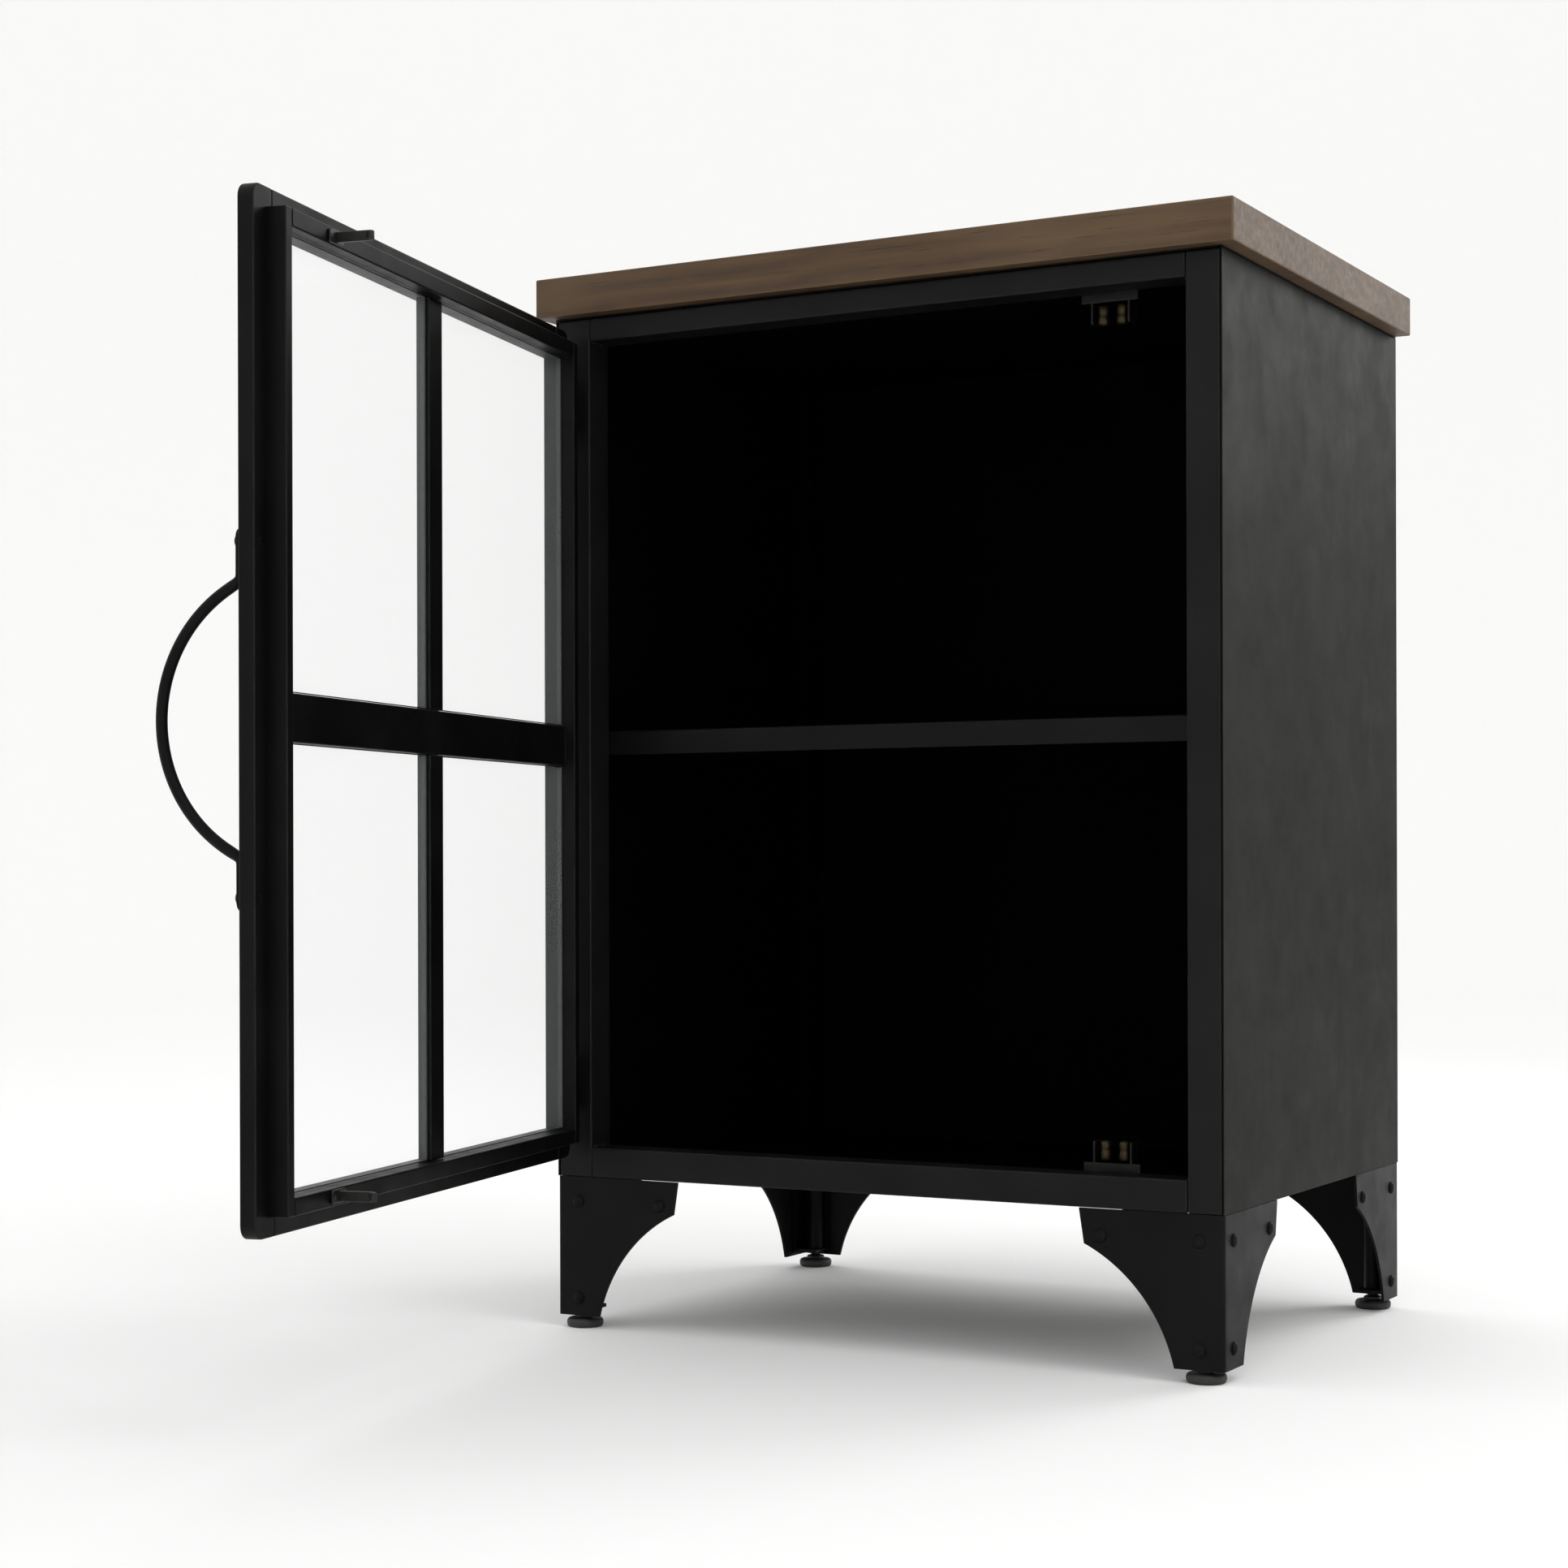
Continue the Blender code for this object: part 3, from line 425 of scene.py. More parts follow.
def panelCoat(node, axis, sign):
    # the panel's coat is grey outside and dark beyond the middle of its own thickness, a painted shade for
    # the inside of the cabinet
    low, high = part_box(node)
    limit = (low[axis] + high[axis]) / 2
    return powderCoat(node + "Paint", {**greyCoat, "shadedSide": (axis, limit, sign), "shadeTone": shadeDark})


plateSteel = plainMetal(
    "zincPlate",
    {
        "dark": (0.009, 0.009, 0.0088),
        "light": (0.019, 0.019, 0.0185),
        "scratch": (0.040, 0.040, 0.039),
        "roughness": (0.34, 0.52),
        "stretch": (1.0, 6.0, 6.0),
        "metal": 0.75,
    },
)
darkSteel = plainMetal(
    "oiledSteel",
    {
        "dark": (0.016, 0.016, 0.015),
        "light": (0.034, 0.033, 0.032),
        "scratch": (0.060, 0.058, 0.056),
        "roughness": (0.32, 0.5),
        "stretch": (1.0, 1.0, 8.0),
        "metal": 0.75,
    },
)
rollerBrass = plainMetal(
    "rollerBrass",
    {
        "dark": (0.026, 0.019, 0.009),
        "light": (0.052, 0.039, 0.020),
        "scratch": (0.085, 0.066, 0.036),
        "roughness": (0.30, 0.46),
        "stretch": (1.0, 1.0, 9.0),
        "metal": 0.9,
    },
)


def mouldedPlastic():
    material, tree, surface = newFinish("padPlastic")
    place = addNode(tree, "ShaderNodeTexCoord").outputs["Object"]
    scuffs = noiseValue(tree, place, 260.0, 5.0, 0.65)
    dust = noiseValue(tree, place, 45.0, 3.0)
    tone = mixColour(tree, span(tree, scuffs, 0.0, 1.0), (0.010, 0.010, 0.010), (0.022, 0.021, 0.020))
    tone = mixColour(tree, span(tree, dust, 0.0, 0.5, 0.5, 0.8), tone, (0.05, 0.047, 0.043))
    tree.links.new(tone, surface.inputs["Base Color"])
    tree.links.new(span(tree, scuffs, 0.48, 0.72), surface.inputs["Roughness"])
    relief = addNode(
        tree,
        "ShaderNodeBump",
        {"Height": scuffs, "Strength": 0.2, "Distance": 0.0002},
    ).outputs["Normal"]
    tree.links.new(relief, surface.inputs["Normal"])
    return material


padPlastic = mouldedPlastic()


def clearPane():
    # thin clear glass: faint green body, faint smears in its gloss
    material, tree, surface = newFinish("clearPane")
    place = addNode(tree, "ShaderNodeTexCoord").outputs["Object"]
    smears = noiseValue(tree, place, 18.0, 5.0, 0.6)
    tone = mixColour(tree, span(tree, smears, 0.0, 1.0), (0.80, 0.87, 0.85), (0.88, 0.92, 0.91))
    tree.links.new(tone, surface.inputs["Base Color"])
    tree.links.new(span(tree, smears, 0.02, 0.07), surface.inputs["Roughness"])
    ripple = noiseValue(tree, place, 6.0, 1.0)
    relief = addNode(
        tree,
        "ShaderNodeBump",
        {"Height": ripple, "Strength": 0.03, "Distance": 0.001},
    ).outputs["Normal"]
    tree.links.new(relief, surface.inputs["Normal"])
    surface.inputs["Alpha"].default_value = 0.07
    surface.inputs["IOR"].default_value = 1.45
    return material


glassClear = clearPane()


def paneBead():
    material, tree, surface = newFinish("paneBead")
    place = addNode(tree, "ShaderNodeTexCoord").outputs["Object"]
    lumps = noiseValue(tree, place, 220.0, 3.0)
    tone = mixColour(tree, span(tree, lumps, 0.0, 1.0), (0.012, 0.012, 0.012), (0.024, 0.024, 0.023))
    tree.links.new(tone, surface.inputs["Base Color"])
    tree.links.new(span(tree, lumps, 0.3, 0.5), surface.inputs["Roughness"])
    relief = addNode(
        tree,
        "ShaderNodeBump",
        {"Height": lumps, "Strength": 0.3, "Distance": 0.0004},
    ).outputs["Normal"]
    tree.links.new(relief, surface.inputs["Normal"])
    return material


sealBlack = paneBead()

woodLook = {
    "heart": (-0.12, -0.19),  # where the log's middle would be, in y and z, metres
    "rings": 128.0,  # rings a metre
    "deep": (0.026, 0.0130, 0.0058),
    "brown": (0.061, 0.0322, 0.0138),
    "honey": (0.100, 0.057, 0.0250),
    "pale": (0.142, 0.089, 0.0440),
    "pore": (0.020, 0.010, 0.0045),
}


def oiledWood():
    # growth rings: distance from the heart line times rings a metre, bent by noise; streaks and
    # pores run along x
    material, tree, surface = newFinish("oiledWood")
    place = addNode(tree, "ShaderNodeTexCoord").outputs["Object"]

    def stretch(x, y, z):
        return addNode(tree, "ShaderNodeMapping", {"Vector": place, "Scale": (x, y, z)}).outputs["Vector"]

    def maths(operation, a, b=0.0, c=0.0):
        return addNode(tree, "ShaderNodeMath", {0: a, 1: b, 2: c}, operation=operation).outputs[0]

    bend = noiseValue(tree, stretch(3.2, 9.0, 9.0), 1.0, 3.0, 0.5)
    parts = addNode(tree, "ShaderNodeSeparateXYZ", {"Vector": place})
    acrossY = maths("SUBTRACT", parts.outputs[1], woodLook["heart"][0])
    acrossZ = maths("SUBTRACT", parts.outputs[2], woodLook["heart"][1])
    squares = maths("ADD", maths("MULTIPLY", acrossY, acrossY), maths("MULTIPLY", acrossZ, acrossZ))
    distance = maths("SQRT", squares)
    turns = maths("ADD", maths("MULTIPLY", distance, woodLook["rings"]), maths("MULTIPLY", bend, 9.0))
    ring = maths("PINGPONG", turns, 1.0)
    streak = noiseValue(tree, stretch(7.0, 230.0, 230.0), 1.0, 5.0, 0.62)
    fine = noiseValue(tree, stretch(26.0, 900.0, 900.0), 1.0, 3.0, 0.6)
    cloud = noiseValue(tree, stretch(5.0, 14.0, 20.0), 1.0, 3.0)
    curl = noiseValue(tree, stretch(34.0, 42.0, 60.0), 1.0, 4.0, 0.6)
    tone = mixColour(tree, span(tree, streak, 0.0, 1.0), woodLook["brown"], woodLook["honey"])
    tone = mixColour(tree, span(tree, ring, 0.0, 0.42, 0.1, 0.95), tone, woodLook["deep"])
    tone = mixColour(tree, span(tree, cloud, 0.0, 0.5, 0.45, 0.75), tone, woodLook["pale"])
    tone = mixColour(tree, span(tree, curl, 0.0, 0.35, 0.5, 0.8), tone, woodLook["honey"])
    pores = span(tree, fine, 0.0, 0.75, 0.60, 0.72)
    tone = mixColour(tree, pores, tone, woodLook["pore"])
    # paler edges: rubbed wood and a painted edge highlight in one
    wornAndHighlitEdge = addNode(tree, "ShaderNodeAttribute", attribute_name="edgeWearAndHighlight").outputs["Fac"]
    tone = mixColour(tree, maths("MULTIPLY", wornAndHighlitEdge, 0.5), tone, woodLook["pale"])
    tree.links.new(tone, surface.inputs["Base Color"])
    tree.links.new(span(tree, streak, 0.48, 0.66), surface.inputs["Roughness"])
    height = maths("SUBTRACT", maths("MULTIPLY", streak, 0.5), pores)
    relief = addNode(
        tree,
        "ShaderNodeBump",
        {"Height": height, "Strength": 0.22, "Distance": 0.0004},
    ).outputs["Normal"]
    tree.links.new(relief, surface.inputs["Normal"])
    surface.inputs["Specular IOR Level"].default_value = 0.35
    return material


woodOil = oiledWood()
print("finishes made")

# wood top

slabSizes = {"edge": 0.9, "corner": 1.6}
low, high = bodyBox("top_slab")
addPiece(
    "woodTop",
    [roundedPlate(low, high, slabSizes["edge"], radii=[slabSizes["corner"]] * 4, steps=4)],
    woodOil,
    "cabinet",
    ["top_slab"],
)
print("wood top made")

# sheet panels: flat CAD sheets, grey outside, with a dark painted shade inside

for node, axis, sign in (
    ("side_panel_right", 0, -1),
    ("side_panel_left", 0, 1),
    ("back_panel", 1, -1),
    ("top_panel", 2, -1),
):
    frame["nodes"][node].data.materials.clear()
    frame["nodes"][node].data.materials.append(panelCoat(node, axis, sign))
# painted shade: the floor, rear posts and shelf brackets inside the cabinet get the near-black coat that
# stands for the shade there
for node in (
    "floor_panel",
    "rear_post_left",
    "rear_post_right",
    "shelf_bracket_left",
    "shelf_bracket_right",
):
    frame["nodes"][node].data.materials.clear()
    frame["nodes"][node].data.materials.append(insideShadePaint)

# thin linings in the dark painted shade coat, meeting at the corners so no light comes through the joints
liningSizes = {"thick": 0.25, "bite": 0.05}
thick, bite = liningSizes["thick"], liningSizes["bite"]
left, right = bodyBox("side_panel_left")[1][0], bodyBox("side_panel_right")[0][0]
back, under = bodyBox("back_panel")[0][1], bodyBox("top_panel")[0][2]
above = bodyBox("floor_panel")[1][2]
near = bodyBox("front_stile_left")[1][1]
linings = []
for low, high in (
    ((left - bite, near, above - bite), (left + thick, back, under)),
    ((right - thick, near, above - bite), (right + bite, back, under)),
    ((left - bite, back - thick, above - bite), (right + bite, back + bite, under)),
    ((left - bite, near, under - thick), (right + bite, back + bite, under + bite)),
    ((left - bite, near, above - bite), (right + bite, back + bite, above + thick)),
):
    linings.append(roundedPlate(low, high, 0.05, steps=1))
addPiece("innerShadeLinings", linings, insideShadePaint, "cabinet")
print("linings made")

# front frame: square tubes with rounded edges, ground welds at the corners

frameSizes = {"edge": 1.3, "weld": 1.5, "ripple": 2.2}
boxes = {n: bodyBox("front_" + n) for n in ("stile_left", "stile_right", "rail_bottom", "rail_top")}
for part in ("stile_left", "stile_right"):
    low, high = boxes[part]
    addPiece(
        "frame_" + part,
        [roundedPlate(low, high, frameSizes["edge"], axis=2, steps=4)],
        framePaint,
        "cabinet",
        ["front_" + part],
    )
for part in ("rail_bottom", "rail_top"):
    low, high = boxes[part]
    addPiece(
        "frame_" + part,
        [roundedPlate(low, high, frameSizes["edge"], axis=0, steps=4)],
        framePaint,
        "cabinet",
        ["front_" + part],
    )
welds = []
for rail, inner in (("rail_bottom", boxes["rail_bottom"][1][2]), ("rail_top", boxes["rail_top"][0][2])):
    side = 1 if rail == "rail_bottom" else -1
    for number, joint in enumerate((boxes[rail][0][0] - 0.15, boxes[rail][1][0] + 0.15)):
        lean = 1 if number == 0 else -1
        welds.append(
            beadShell(
                (joint + lean * 0.3, 1.2, inner + side * 0.2),
                (joint + lean * 0.3, boxes[rail][1][1] - 1.5, inner + side * 0.2),
                frameSizes["weld"],
                frameSizes["ripple"],
                fromBody,
                seed=number + 3,
            )
        )
addPiece("frameWelds", welds, framePaint, "cabinet")
print("front frame made")

# shelf: one sheet folded down at the front, with side flanges

shelfSizes = {"fold": 2.2, "sheet": 1.2, "edge": 0.35, "notch": 15.8}
low, high = bodyBox("shelf")


def foldedSheet(start, end, front, back, bottom, top, fold, sheet):
    # section: flat top, a quarter-circle fold, an upright lip; carried along x, outer and inner
    # line closed into a ring
    t = np.linspace(0.0, math.pi / 2, 7)
    outerY = np.concatenate([[back], front + fold - fold * np.sin(t), [front]])
    outerZ = np.concatenate([[top], top - fold + fold * np.cos(t), [bottom]])
    inner = max(fold - sheet, 0.2)
    innerY = np.concatenate([[back], front + fold - inner * np.sin(t), [front + sheet]])
    innerZ = np.concatenate([[top - sheet], top - fold + inner * np.cos(t), [bottom]])
    section = np.stack(
        [np.concatenate([outerY, innerY[::-1]]), np.concatenate([outerZ, innerZ[::-1]])],
        axis=1,
    )
    x = np.array([start, end])
    rings = np.zeros((2, len(section), 3))
    rings[..., 0] = x[:, None]
    rings[..., 1:] = section[None]
    return tubeShell(fromBody(rings))


notchBack = high[1] - shelfSizes["notch"]
shelfShells = [
    foldedSheet(
        low[0],
        high[0],
        low[1],
        notchBack,
        low[2],
        high[2],
        shelfSizes["fold"],
        shelfSizes["sheet"],
    ),
    roundedPlate(
        (low[0] + shelfSizes["notch"], notchBack - 0.2, high[2] - shelfSizes["sheet"]),
        (high[0] - shelfSizes["notch"], high[1], high[2]),
        0.2,
    ),
]
for left, right in ((low[0], low[0] + shelfSizes["sheet"]), (high[0] - shelfSizes["sheet"], high[0])):
    shelfShells.append(
        roundedPlate((left, low[1] + 3.0, low[2]), (right, notchBack, high[2] - 1.4), 0.2)
    )
# painted shade: the shelf's darker coat stands for the shade inside the cabinet
addPiece("shelfTray", shelfShells, shelfShadePaint, "cabinet", ["shelf"])

# legs: a folded plate with an arc cut from each face, six domed rivets

legSizes = {
    "thick": 2.0,
    "bottom": 8.7,
    "top": 107.0,
    "fold": 2.6,
    "wide": 98.8,
    "edgeLow": 84.2,
    "edgeIn": 3.4,
    "foot": 34.0,
    "rise": 10.4,
    "rivet": 4.4,
    "crown": 2.6,
    "near": 17.0,
    "seamStart": 12.0,
    "seamEnd": 70.0,
    "seam": 0.55,
    "ripple": 2.4,
    "far": 84.0,
    "rivetHigh": 90.0,
    "rivetLow": 21.6,
}


def legUnderside(reach):
    # the lower edge at a distance from the fold: flat foot, circular arc, then the sloping side
    q = legSizes
    start = np.array([q["wide"] - q["edgeIn"], q["edgeLow"]])
    end = np.array([q["foot"] + 1.0, q["bottom"] + 4.0])
    half = np.linalg.norm(start - end) / 2
    radius = (half**2 + q["rise"] ** 2) / (2 * q["rise"])
    along = (end - start) / (2 * half)
    across = np.array([along[1], -along[0]])
    across = -across if across[0] > 0 else across
    middle = (start + end) / 2 + across * (q["rise"] - radius)
    arc = middle[1] + np.sqrt(np.clip(radius**2 - (reach - middle[0]) ** 2, 0.0, None))
    slope = q["edgeLow"] + (reach - start[0]) / q["edgeIn"] * (q["top"] - 0.6 - q["edgeLow"])
    corner = q["bottom"] + (reach - q["foot"]) * 4.0
    return np.where(
        reach <= q["foot"],
        q["bottom"],
        np.where(reach < end[0], corner, np.where(reach < start[0], arc, slope)),
    )


def legShell(placeCorner):
    # a sheet developed across the fold: distance s from the fold line, height v between its lower
    # and upper edges;
    # the fold turns s into a quarter circle, the inner skin is the outer one moved in by the thickness
    q = legSizes
    flat = q["wide"] - q["fold"]
    cut = q["foot"] - q["fold"]
    straight = np.unique(
        np.concatenate(
            [
                np.linspace(0, cut, 9),
                [cut + 1.0],
                cut + 1.0 + np.linspace(0, 1, 40) ** 1.35 * (flat - q["edgeIn"] - cut - 1.0),
                np.linspace(flat - q["edgeIn"], flat, 5),
            ],
        )
    )
    turn = np.linspace(0.0, math.pi / 2, 9)[1:-1]
    f = q["fold"]

    def skin(depth):
        r = f - depth
        sideX = np.stack([f + straight[::-1], np.full(len(straight), depth)], axis=1)
        bend = np.stack([f - r * np.sin(turn), f - r * np.cos(turn)], axis=1)
        sideY = sideX[::-1, ::-1]
        return np.concatenate([sideX, bend, sideY])

    reach = np.concatenate([f + straight[::-1], np.full(len(turn), f), f + straight])
    floor = legUnderside(reach)
    v = np.linspace(0.0, 1.0, 9)
    heights = floor[:, None] + v[None, :] * (q["top"] - floor[:, None])
    outer, inner = skin(0.0), skin(q["thick"])
    outerGrid = np.concatenate([np.repeat(outer[:, None], len(v), 1), heights[..., None]], axis=2)
    innerGrid = np.concatenate([np.repeat(inner[:, None], len(v), 1), heights[..., None]], axis=2)
    rings = np.concatenate([outerGrid, innerGrid[:, ::-1]], axis=1)
    return tubeShell(placeCorner(rings))


for corner, sideX, sideY in (
    ("front_left", 1, 1),
    ("front_right", -1, 1),
    ("rear_left", 1, -1),
    ("rear_right", -1, -1),
):
    wide = bodyBox("top_panel")[1][0]
    deep = bodyBox("top_panel")[1][1]

    def placeCorner(points, sideX=sideX, sideY=sideY, wide=wide, deep=deep):
        p = np.array(points, float)
        p[..., 0] = p[..., 0] if sideX > 0 else wide - p[..., 0]
        p[..., 1] = p[..., 1] if sideY > 0 else deep - p[..., 1]
        return fromBody(p)

    shells = [legShell(placeCorner)]
    q = legSizes
    for along, tall in (
        (q["near"], q["rivetHigh"]),
        (q["far"], q["rivetHigh"]),
        (q["near"], q["rivetLow"]),
    ):
        profile = domeProfile(q["rivet"], q["crown"])
        shells.append(turnedShell(profile, (along, 0.0, tall), (0, -1, 0), placeCorner, 28))
        shells.append(turnedShell(profile, (0.0, along, tall), (-1, 0, 0), placeCorner, 28))
    shells.append(
        beadShell(
            (q["seamStart"], 1.0, q["top"]),
            (q["seamEnd"], 1.0, q["top"]),
            q["seam"],
            q["ripple"],
            placeCorner,
            seed=5,
        ),
    )
    shells.append(
        beadShell(
            (1.0, q["seamStart"], q["top"]),
            (1.0, q["seamEnd"], q["top"]),
            q["seam"],
            q["ripple"],
            placeCorner,
            seed=6,
        ),
    )
    # painted shade: the legs' darker coat stands for the shade under the body
    addPiece("legPlate_" + corner, shells, legShadePaint, "cabinet", ["leg_" + corner], 30)
    bracket = frame["nodes"]["leg_bracket_" + corner]
    bracket.data.materials.clear()
    bracket.data.materials.append(blackPaint)
print("shelf and legs made")

# levelling feet: moulded pad, hexagon, threaded stud

footSizes = {"pitch": 1.25, "thread": 0.55}


def hexagon(turn):
    # distance to a regular hexagon's side, against its corner
    part = np.mod(turn, math.pi / 3) - math.pi / 6
    return math.cos(math.pi / 6) / np.cos(part)


def threadShell(centre, start, end, radius):
    # radius less a triangle wave of height / pitch minus turn, so the ridge climbs one pitch a
    # turn; both ends taper
    q = footSizes
    sides = 28
    turn = np.linspace(0.0, math.tau, sides, endpoint=False)
    rows = int((end - start) / q["pitch"] * 6)
    z = np.linspace(start, end, rows)
    phase = np.mod(z[:, None] / q["pitch"] - turn[None, :] / math.tau, 1.0)
    ridge = 1 - np.abs(2 * phase - 1)
    taper = np.clip(np.minimum(z - start, end - z) / 1.0, 0.0, 1.0)[:, None]
    r = radius - q["thread"] * (1 - ridge * taper)
    points = np.stack(
        [centre[0] + r * np.cos(turn), centre[1] + r * np.sin(turn), np.repeat(z[:, None], sides, 1)],
        axis=-1,
    )
    return tubeShell(fromBody(points))


for corner in ("front_left", "front_right", "rear_left", "rear_right"):
    low, high = bodyBox("leveller_pad_" + corner)
    centre = (low + high) / 2
    radius, tall = (high[0] - low[0]) / 2, high[2] - low[2]
    base = (centre[0], centre[1], low[2])
    grooves = [
        (0.0, tall), (radius - 5.4, tall), (radius - 4.9, tall - 0.3), (radius - 3.4, tall - 0.3),
        (radius - 3.0, tall), (
            radius - 1.6,
            tall - 0.12,
        ), (radius - 0.7, tall - 0.7), (radius - 0.15, tall - 1.7),
        (
            radius,
            tall - 2.4,
        ), (radius - 0.05, 2.6), (radius - 0.3, 1.2), (radius - 1.1, 0.25), (radius - 2.0, 0.0), (0.0, 0.0),
    ]
    addPiece(
        "footPad_" + corner, [turnedShell(grooves, base, (0, 0, 1), sides=56)],
        padPlastic, "foot_" + corner, ["leveller_pad_" + corner],
    )
    low, high = bodyBox("leveller_stud_" + corner)
    reach = (high[0] - low[0]) / 2
    nut = [
        (0.0, 2.6),
        (reach * 0.82, 2.6),
        (reach * 0.93, 2.4),
        (reach, 2.0),
        (reach, 0.5),
        (reach * 0.93, 0.1),
        (0.0, 0.1),
    ]
    addPiece(
        "footStud_" + corner,
        [
            threadShell(centre, low[2] + 1.5, high[2] - 0.2, 3.95),
            turnedShell(nut, (centre[0], centre[1], low[2]), (0, 0, 1), sides=48, shape=hexagon),
        ],
        darkSteel, "stud_" + corner, ["leveller_stud_" + corner],
    )
print("feet made")

# door leaf: overlay, stepped lip, rounded outer corners

leafSizes = {"edge": 1.0, "corner": 8.0, "overlay": 10.0, "lipEdge": 0.8, "weld": 1.1, "ripple": 2.0}
stiles = {side: leafBox("door_stile_" + side) for side in ("hinge", "free")}
rails = {side: leafBox("door_rail_" + side) for side in ("bottom", "top")}
outerFace = stiles["free"][0][1]
overlayBack = outerFace + leafSizes["overlay"]
lipBack = stiles["free"][1][1]
lipInSide, lipInEnd = 14.0, 11.5
leafLow, leafHigh = stiles["free"][0][2], stiles["free"][1][2]
for side in ("hinge", "free"):
    low, high = stiles[side]
    # outline corners in order: up and near, up and far, down and far, down and near
    big, small = leafSizes["corner"], leafSizes["edge"]
    radii = [small, big, big, small] if side == "free" else [big, small, small, big]
    shells = [
        roundedPlate(
            (low[0], outerFace, low[2]), (
                high[0],
                overlayBack,
                high[2],
            ), leafSizes["edge"], fromLeaf, radii, axis=1, steps=6
        )
    ]
    lipOut = high[0] - lipInSide if side == "free" else low[0] + lipInSide
    lipIn = low[0] + 0.2 if side == "free" else high[0] - 0.2
    shells.append(
        roundedPlate(
            (min(lipOut, lipIn), overlayBack - 1.5, leafLow + lipInEnd),
            (max(lipOut, lipIn), lipBack, leafHigh - lipInEnd),
            leafSizes["lipEdge"],
            fromLeaf,
            axis=2,
        )
    )
    addPiece("leafStile_" + side, shells, blackPaint, "door", ["door_stile_" + side])
for side in ("bottom", "top"):
    low, high = rails[side]
    if side == "bottom":
        lipLow, lipHigh = leafLow + lipInEnd, high[2] - 0.2
    else:
        lipLow, lipHigh = low[2] + 0.2, leafHigh - lipInEnd
    shells = [
        roundedPlate(
            (low[0], outerFace, low[2]),
            (high[0], overlayBack, high[2]),
            leafSizes["edge"],
            fromLeaf,
            axis=0,
        ),
        roundedPlate(
            (
                low[0] + 0.1,
                overlayBack - 1.5,
                lipLow,
            ), (high[0] - 0.1, lipBack, lipHigh), leafSizes["lipEdge"], fromLeaf, axis=0
        ),
    ]
    addPiece("leafRail_" + side, shells, blackPaint, "door", ["door_rail_" + side])

# glazing bars: flat bars with rounded edges
barSizes = {"edge": 0.9, "weld": 1.0}
bars = {n: leafBox("muntin_" + n) for n in ("horizontal", "lower", "upper")}
for part in ("horizontal", "lower", "upper"):
    low, high = bars[part]
    axis = 0 if part == "horizontal" else 2
    addPiece(
        "leafBar_" + part,
        [roundedPlate(low, high, barSizes["edge"], fromLeaf, axis=axis, steps=4)],
        blackPaint,
        "door",
        ["muntin_" + part],
    )

# welds where rails and bars meet the stiles
welds = []
for side, joint in (("hinge", stiles["hinge"][1][0] + 0.15), ("free", stiles["free"][0][0] - 0.15)):
    lean = 1 if side == "hinge" else -1
    low, high = bars["horizontal"]
    for number, level in enumerate((low[2], high[2])):
        welds.append(
            beadShell(
                (joint + lean * 0.2, low[1] + 1.0, level), (joint + lean * 0.2, high[1] - 0.5, level),
                barSizes["weld"], leafSizes["ripple"], fromLeaf, seed=11 + number,
            )
        )
    welds.append(
        beadShell(
            (joint, high[1] - 0.1, low[2] + 1.0), (joint, high[1] - 0.1, high[2] - 1.0),
            barSizes["weld"] * 0.8, leafSizes["ripple"], fromLeaf, seed=14,
        )
    )
    for rail in ("bottom", "top"):
        low, high = rails[rail]
        inner = high[2] if rail == "bottom" else low[2]
        welds.append(
            beadShell(
                (joint + lean * 0.2, overlayBack + 1.0, inner), (joint + lean * 0.2, lipBack - 1.0, inner),
                leafSizes["weld"], leafSizes["ripple"], fromLeaf, seed=17,
            )
        )
        lipEnd = leafLow + lipInEnd if rail == "bottom" else leafHigh - lipInEnd
        welds.append(
            beadShell(
                (
                    joint,
                    lipBack - 0.2,
                    min(inner, lipEnd) + 0.8,
                ), (joint, lipBack - 0.2, max(inner, lipEnd) - 0.8),
                leafSizes["weld"] * 0.6, leafSizes["ripple"], fromLeaf, seed=19,
            )
        )
addPiece("leafWelds", welds, blackPaint, "door")
print("door leaf made")

# glass and its sealing bead

paneSizes = {"edge": 0.35, "bead": 0.7}
beads = []
for row in ("lower", "upper"):
    for side in ("hinge", "free"):
        low, high = leafBox(f"glass_{row}_{side}")
        addPiece(
            f"pane_{row}_{side}", [roundedPlate(low, high, paneSizes["edge"], fromLeaf, axis=1, steps=2)],
            glassClear, "door", [f"glass_{row}_{side}"],
        )
        b = paneSizes["bead"]
        for a0, a1, z0, z1 in (
            (low[0], high[0], low[2], low[2] + b), (low[0], high[0], high[2] - b, high[2]),
            (low[0], low[0] + b, low[2], high[2]), (high[0] - b, high[0], low[2], high[2]),
        ):
            axis = 0 if a1 - a0 > z1 - z0 else 2
            beads.append(
                roundedPlate((a0, high[1] + 0.05, z0), (a1, high[1] + b, z1), 0.3, fromLeaf, axis=axis),
            )
addPiece("paneBeads", beads, sealBlack, "door")
print("glass made")

# handle: bowed rod with flattened ends, two domed rivets

handleSizes = {"rivets": 197.0, "bow": 83.6, "rod": 3.3, "endWide": 5.0, "endThick": 1.5, "gap": 0.3}
low, high = leafBox("handle")
handleAlong = (low[0] + high[0]) / 2
handleMiddle = (low[2] + high[2]) / 2
handleHalf = (high[2] - low[2]) / 2
handleRise = outerFace - low[1] - handleSizes["rod"]


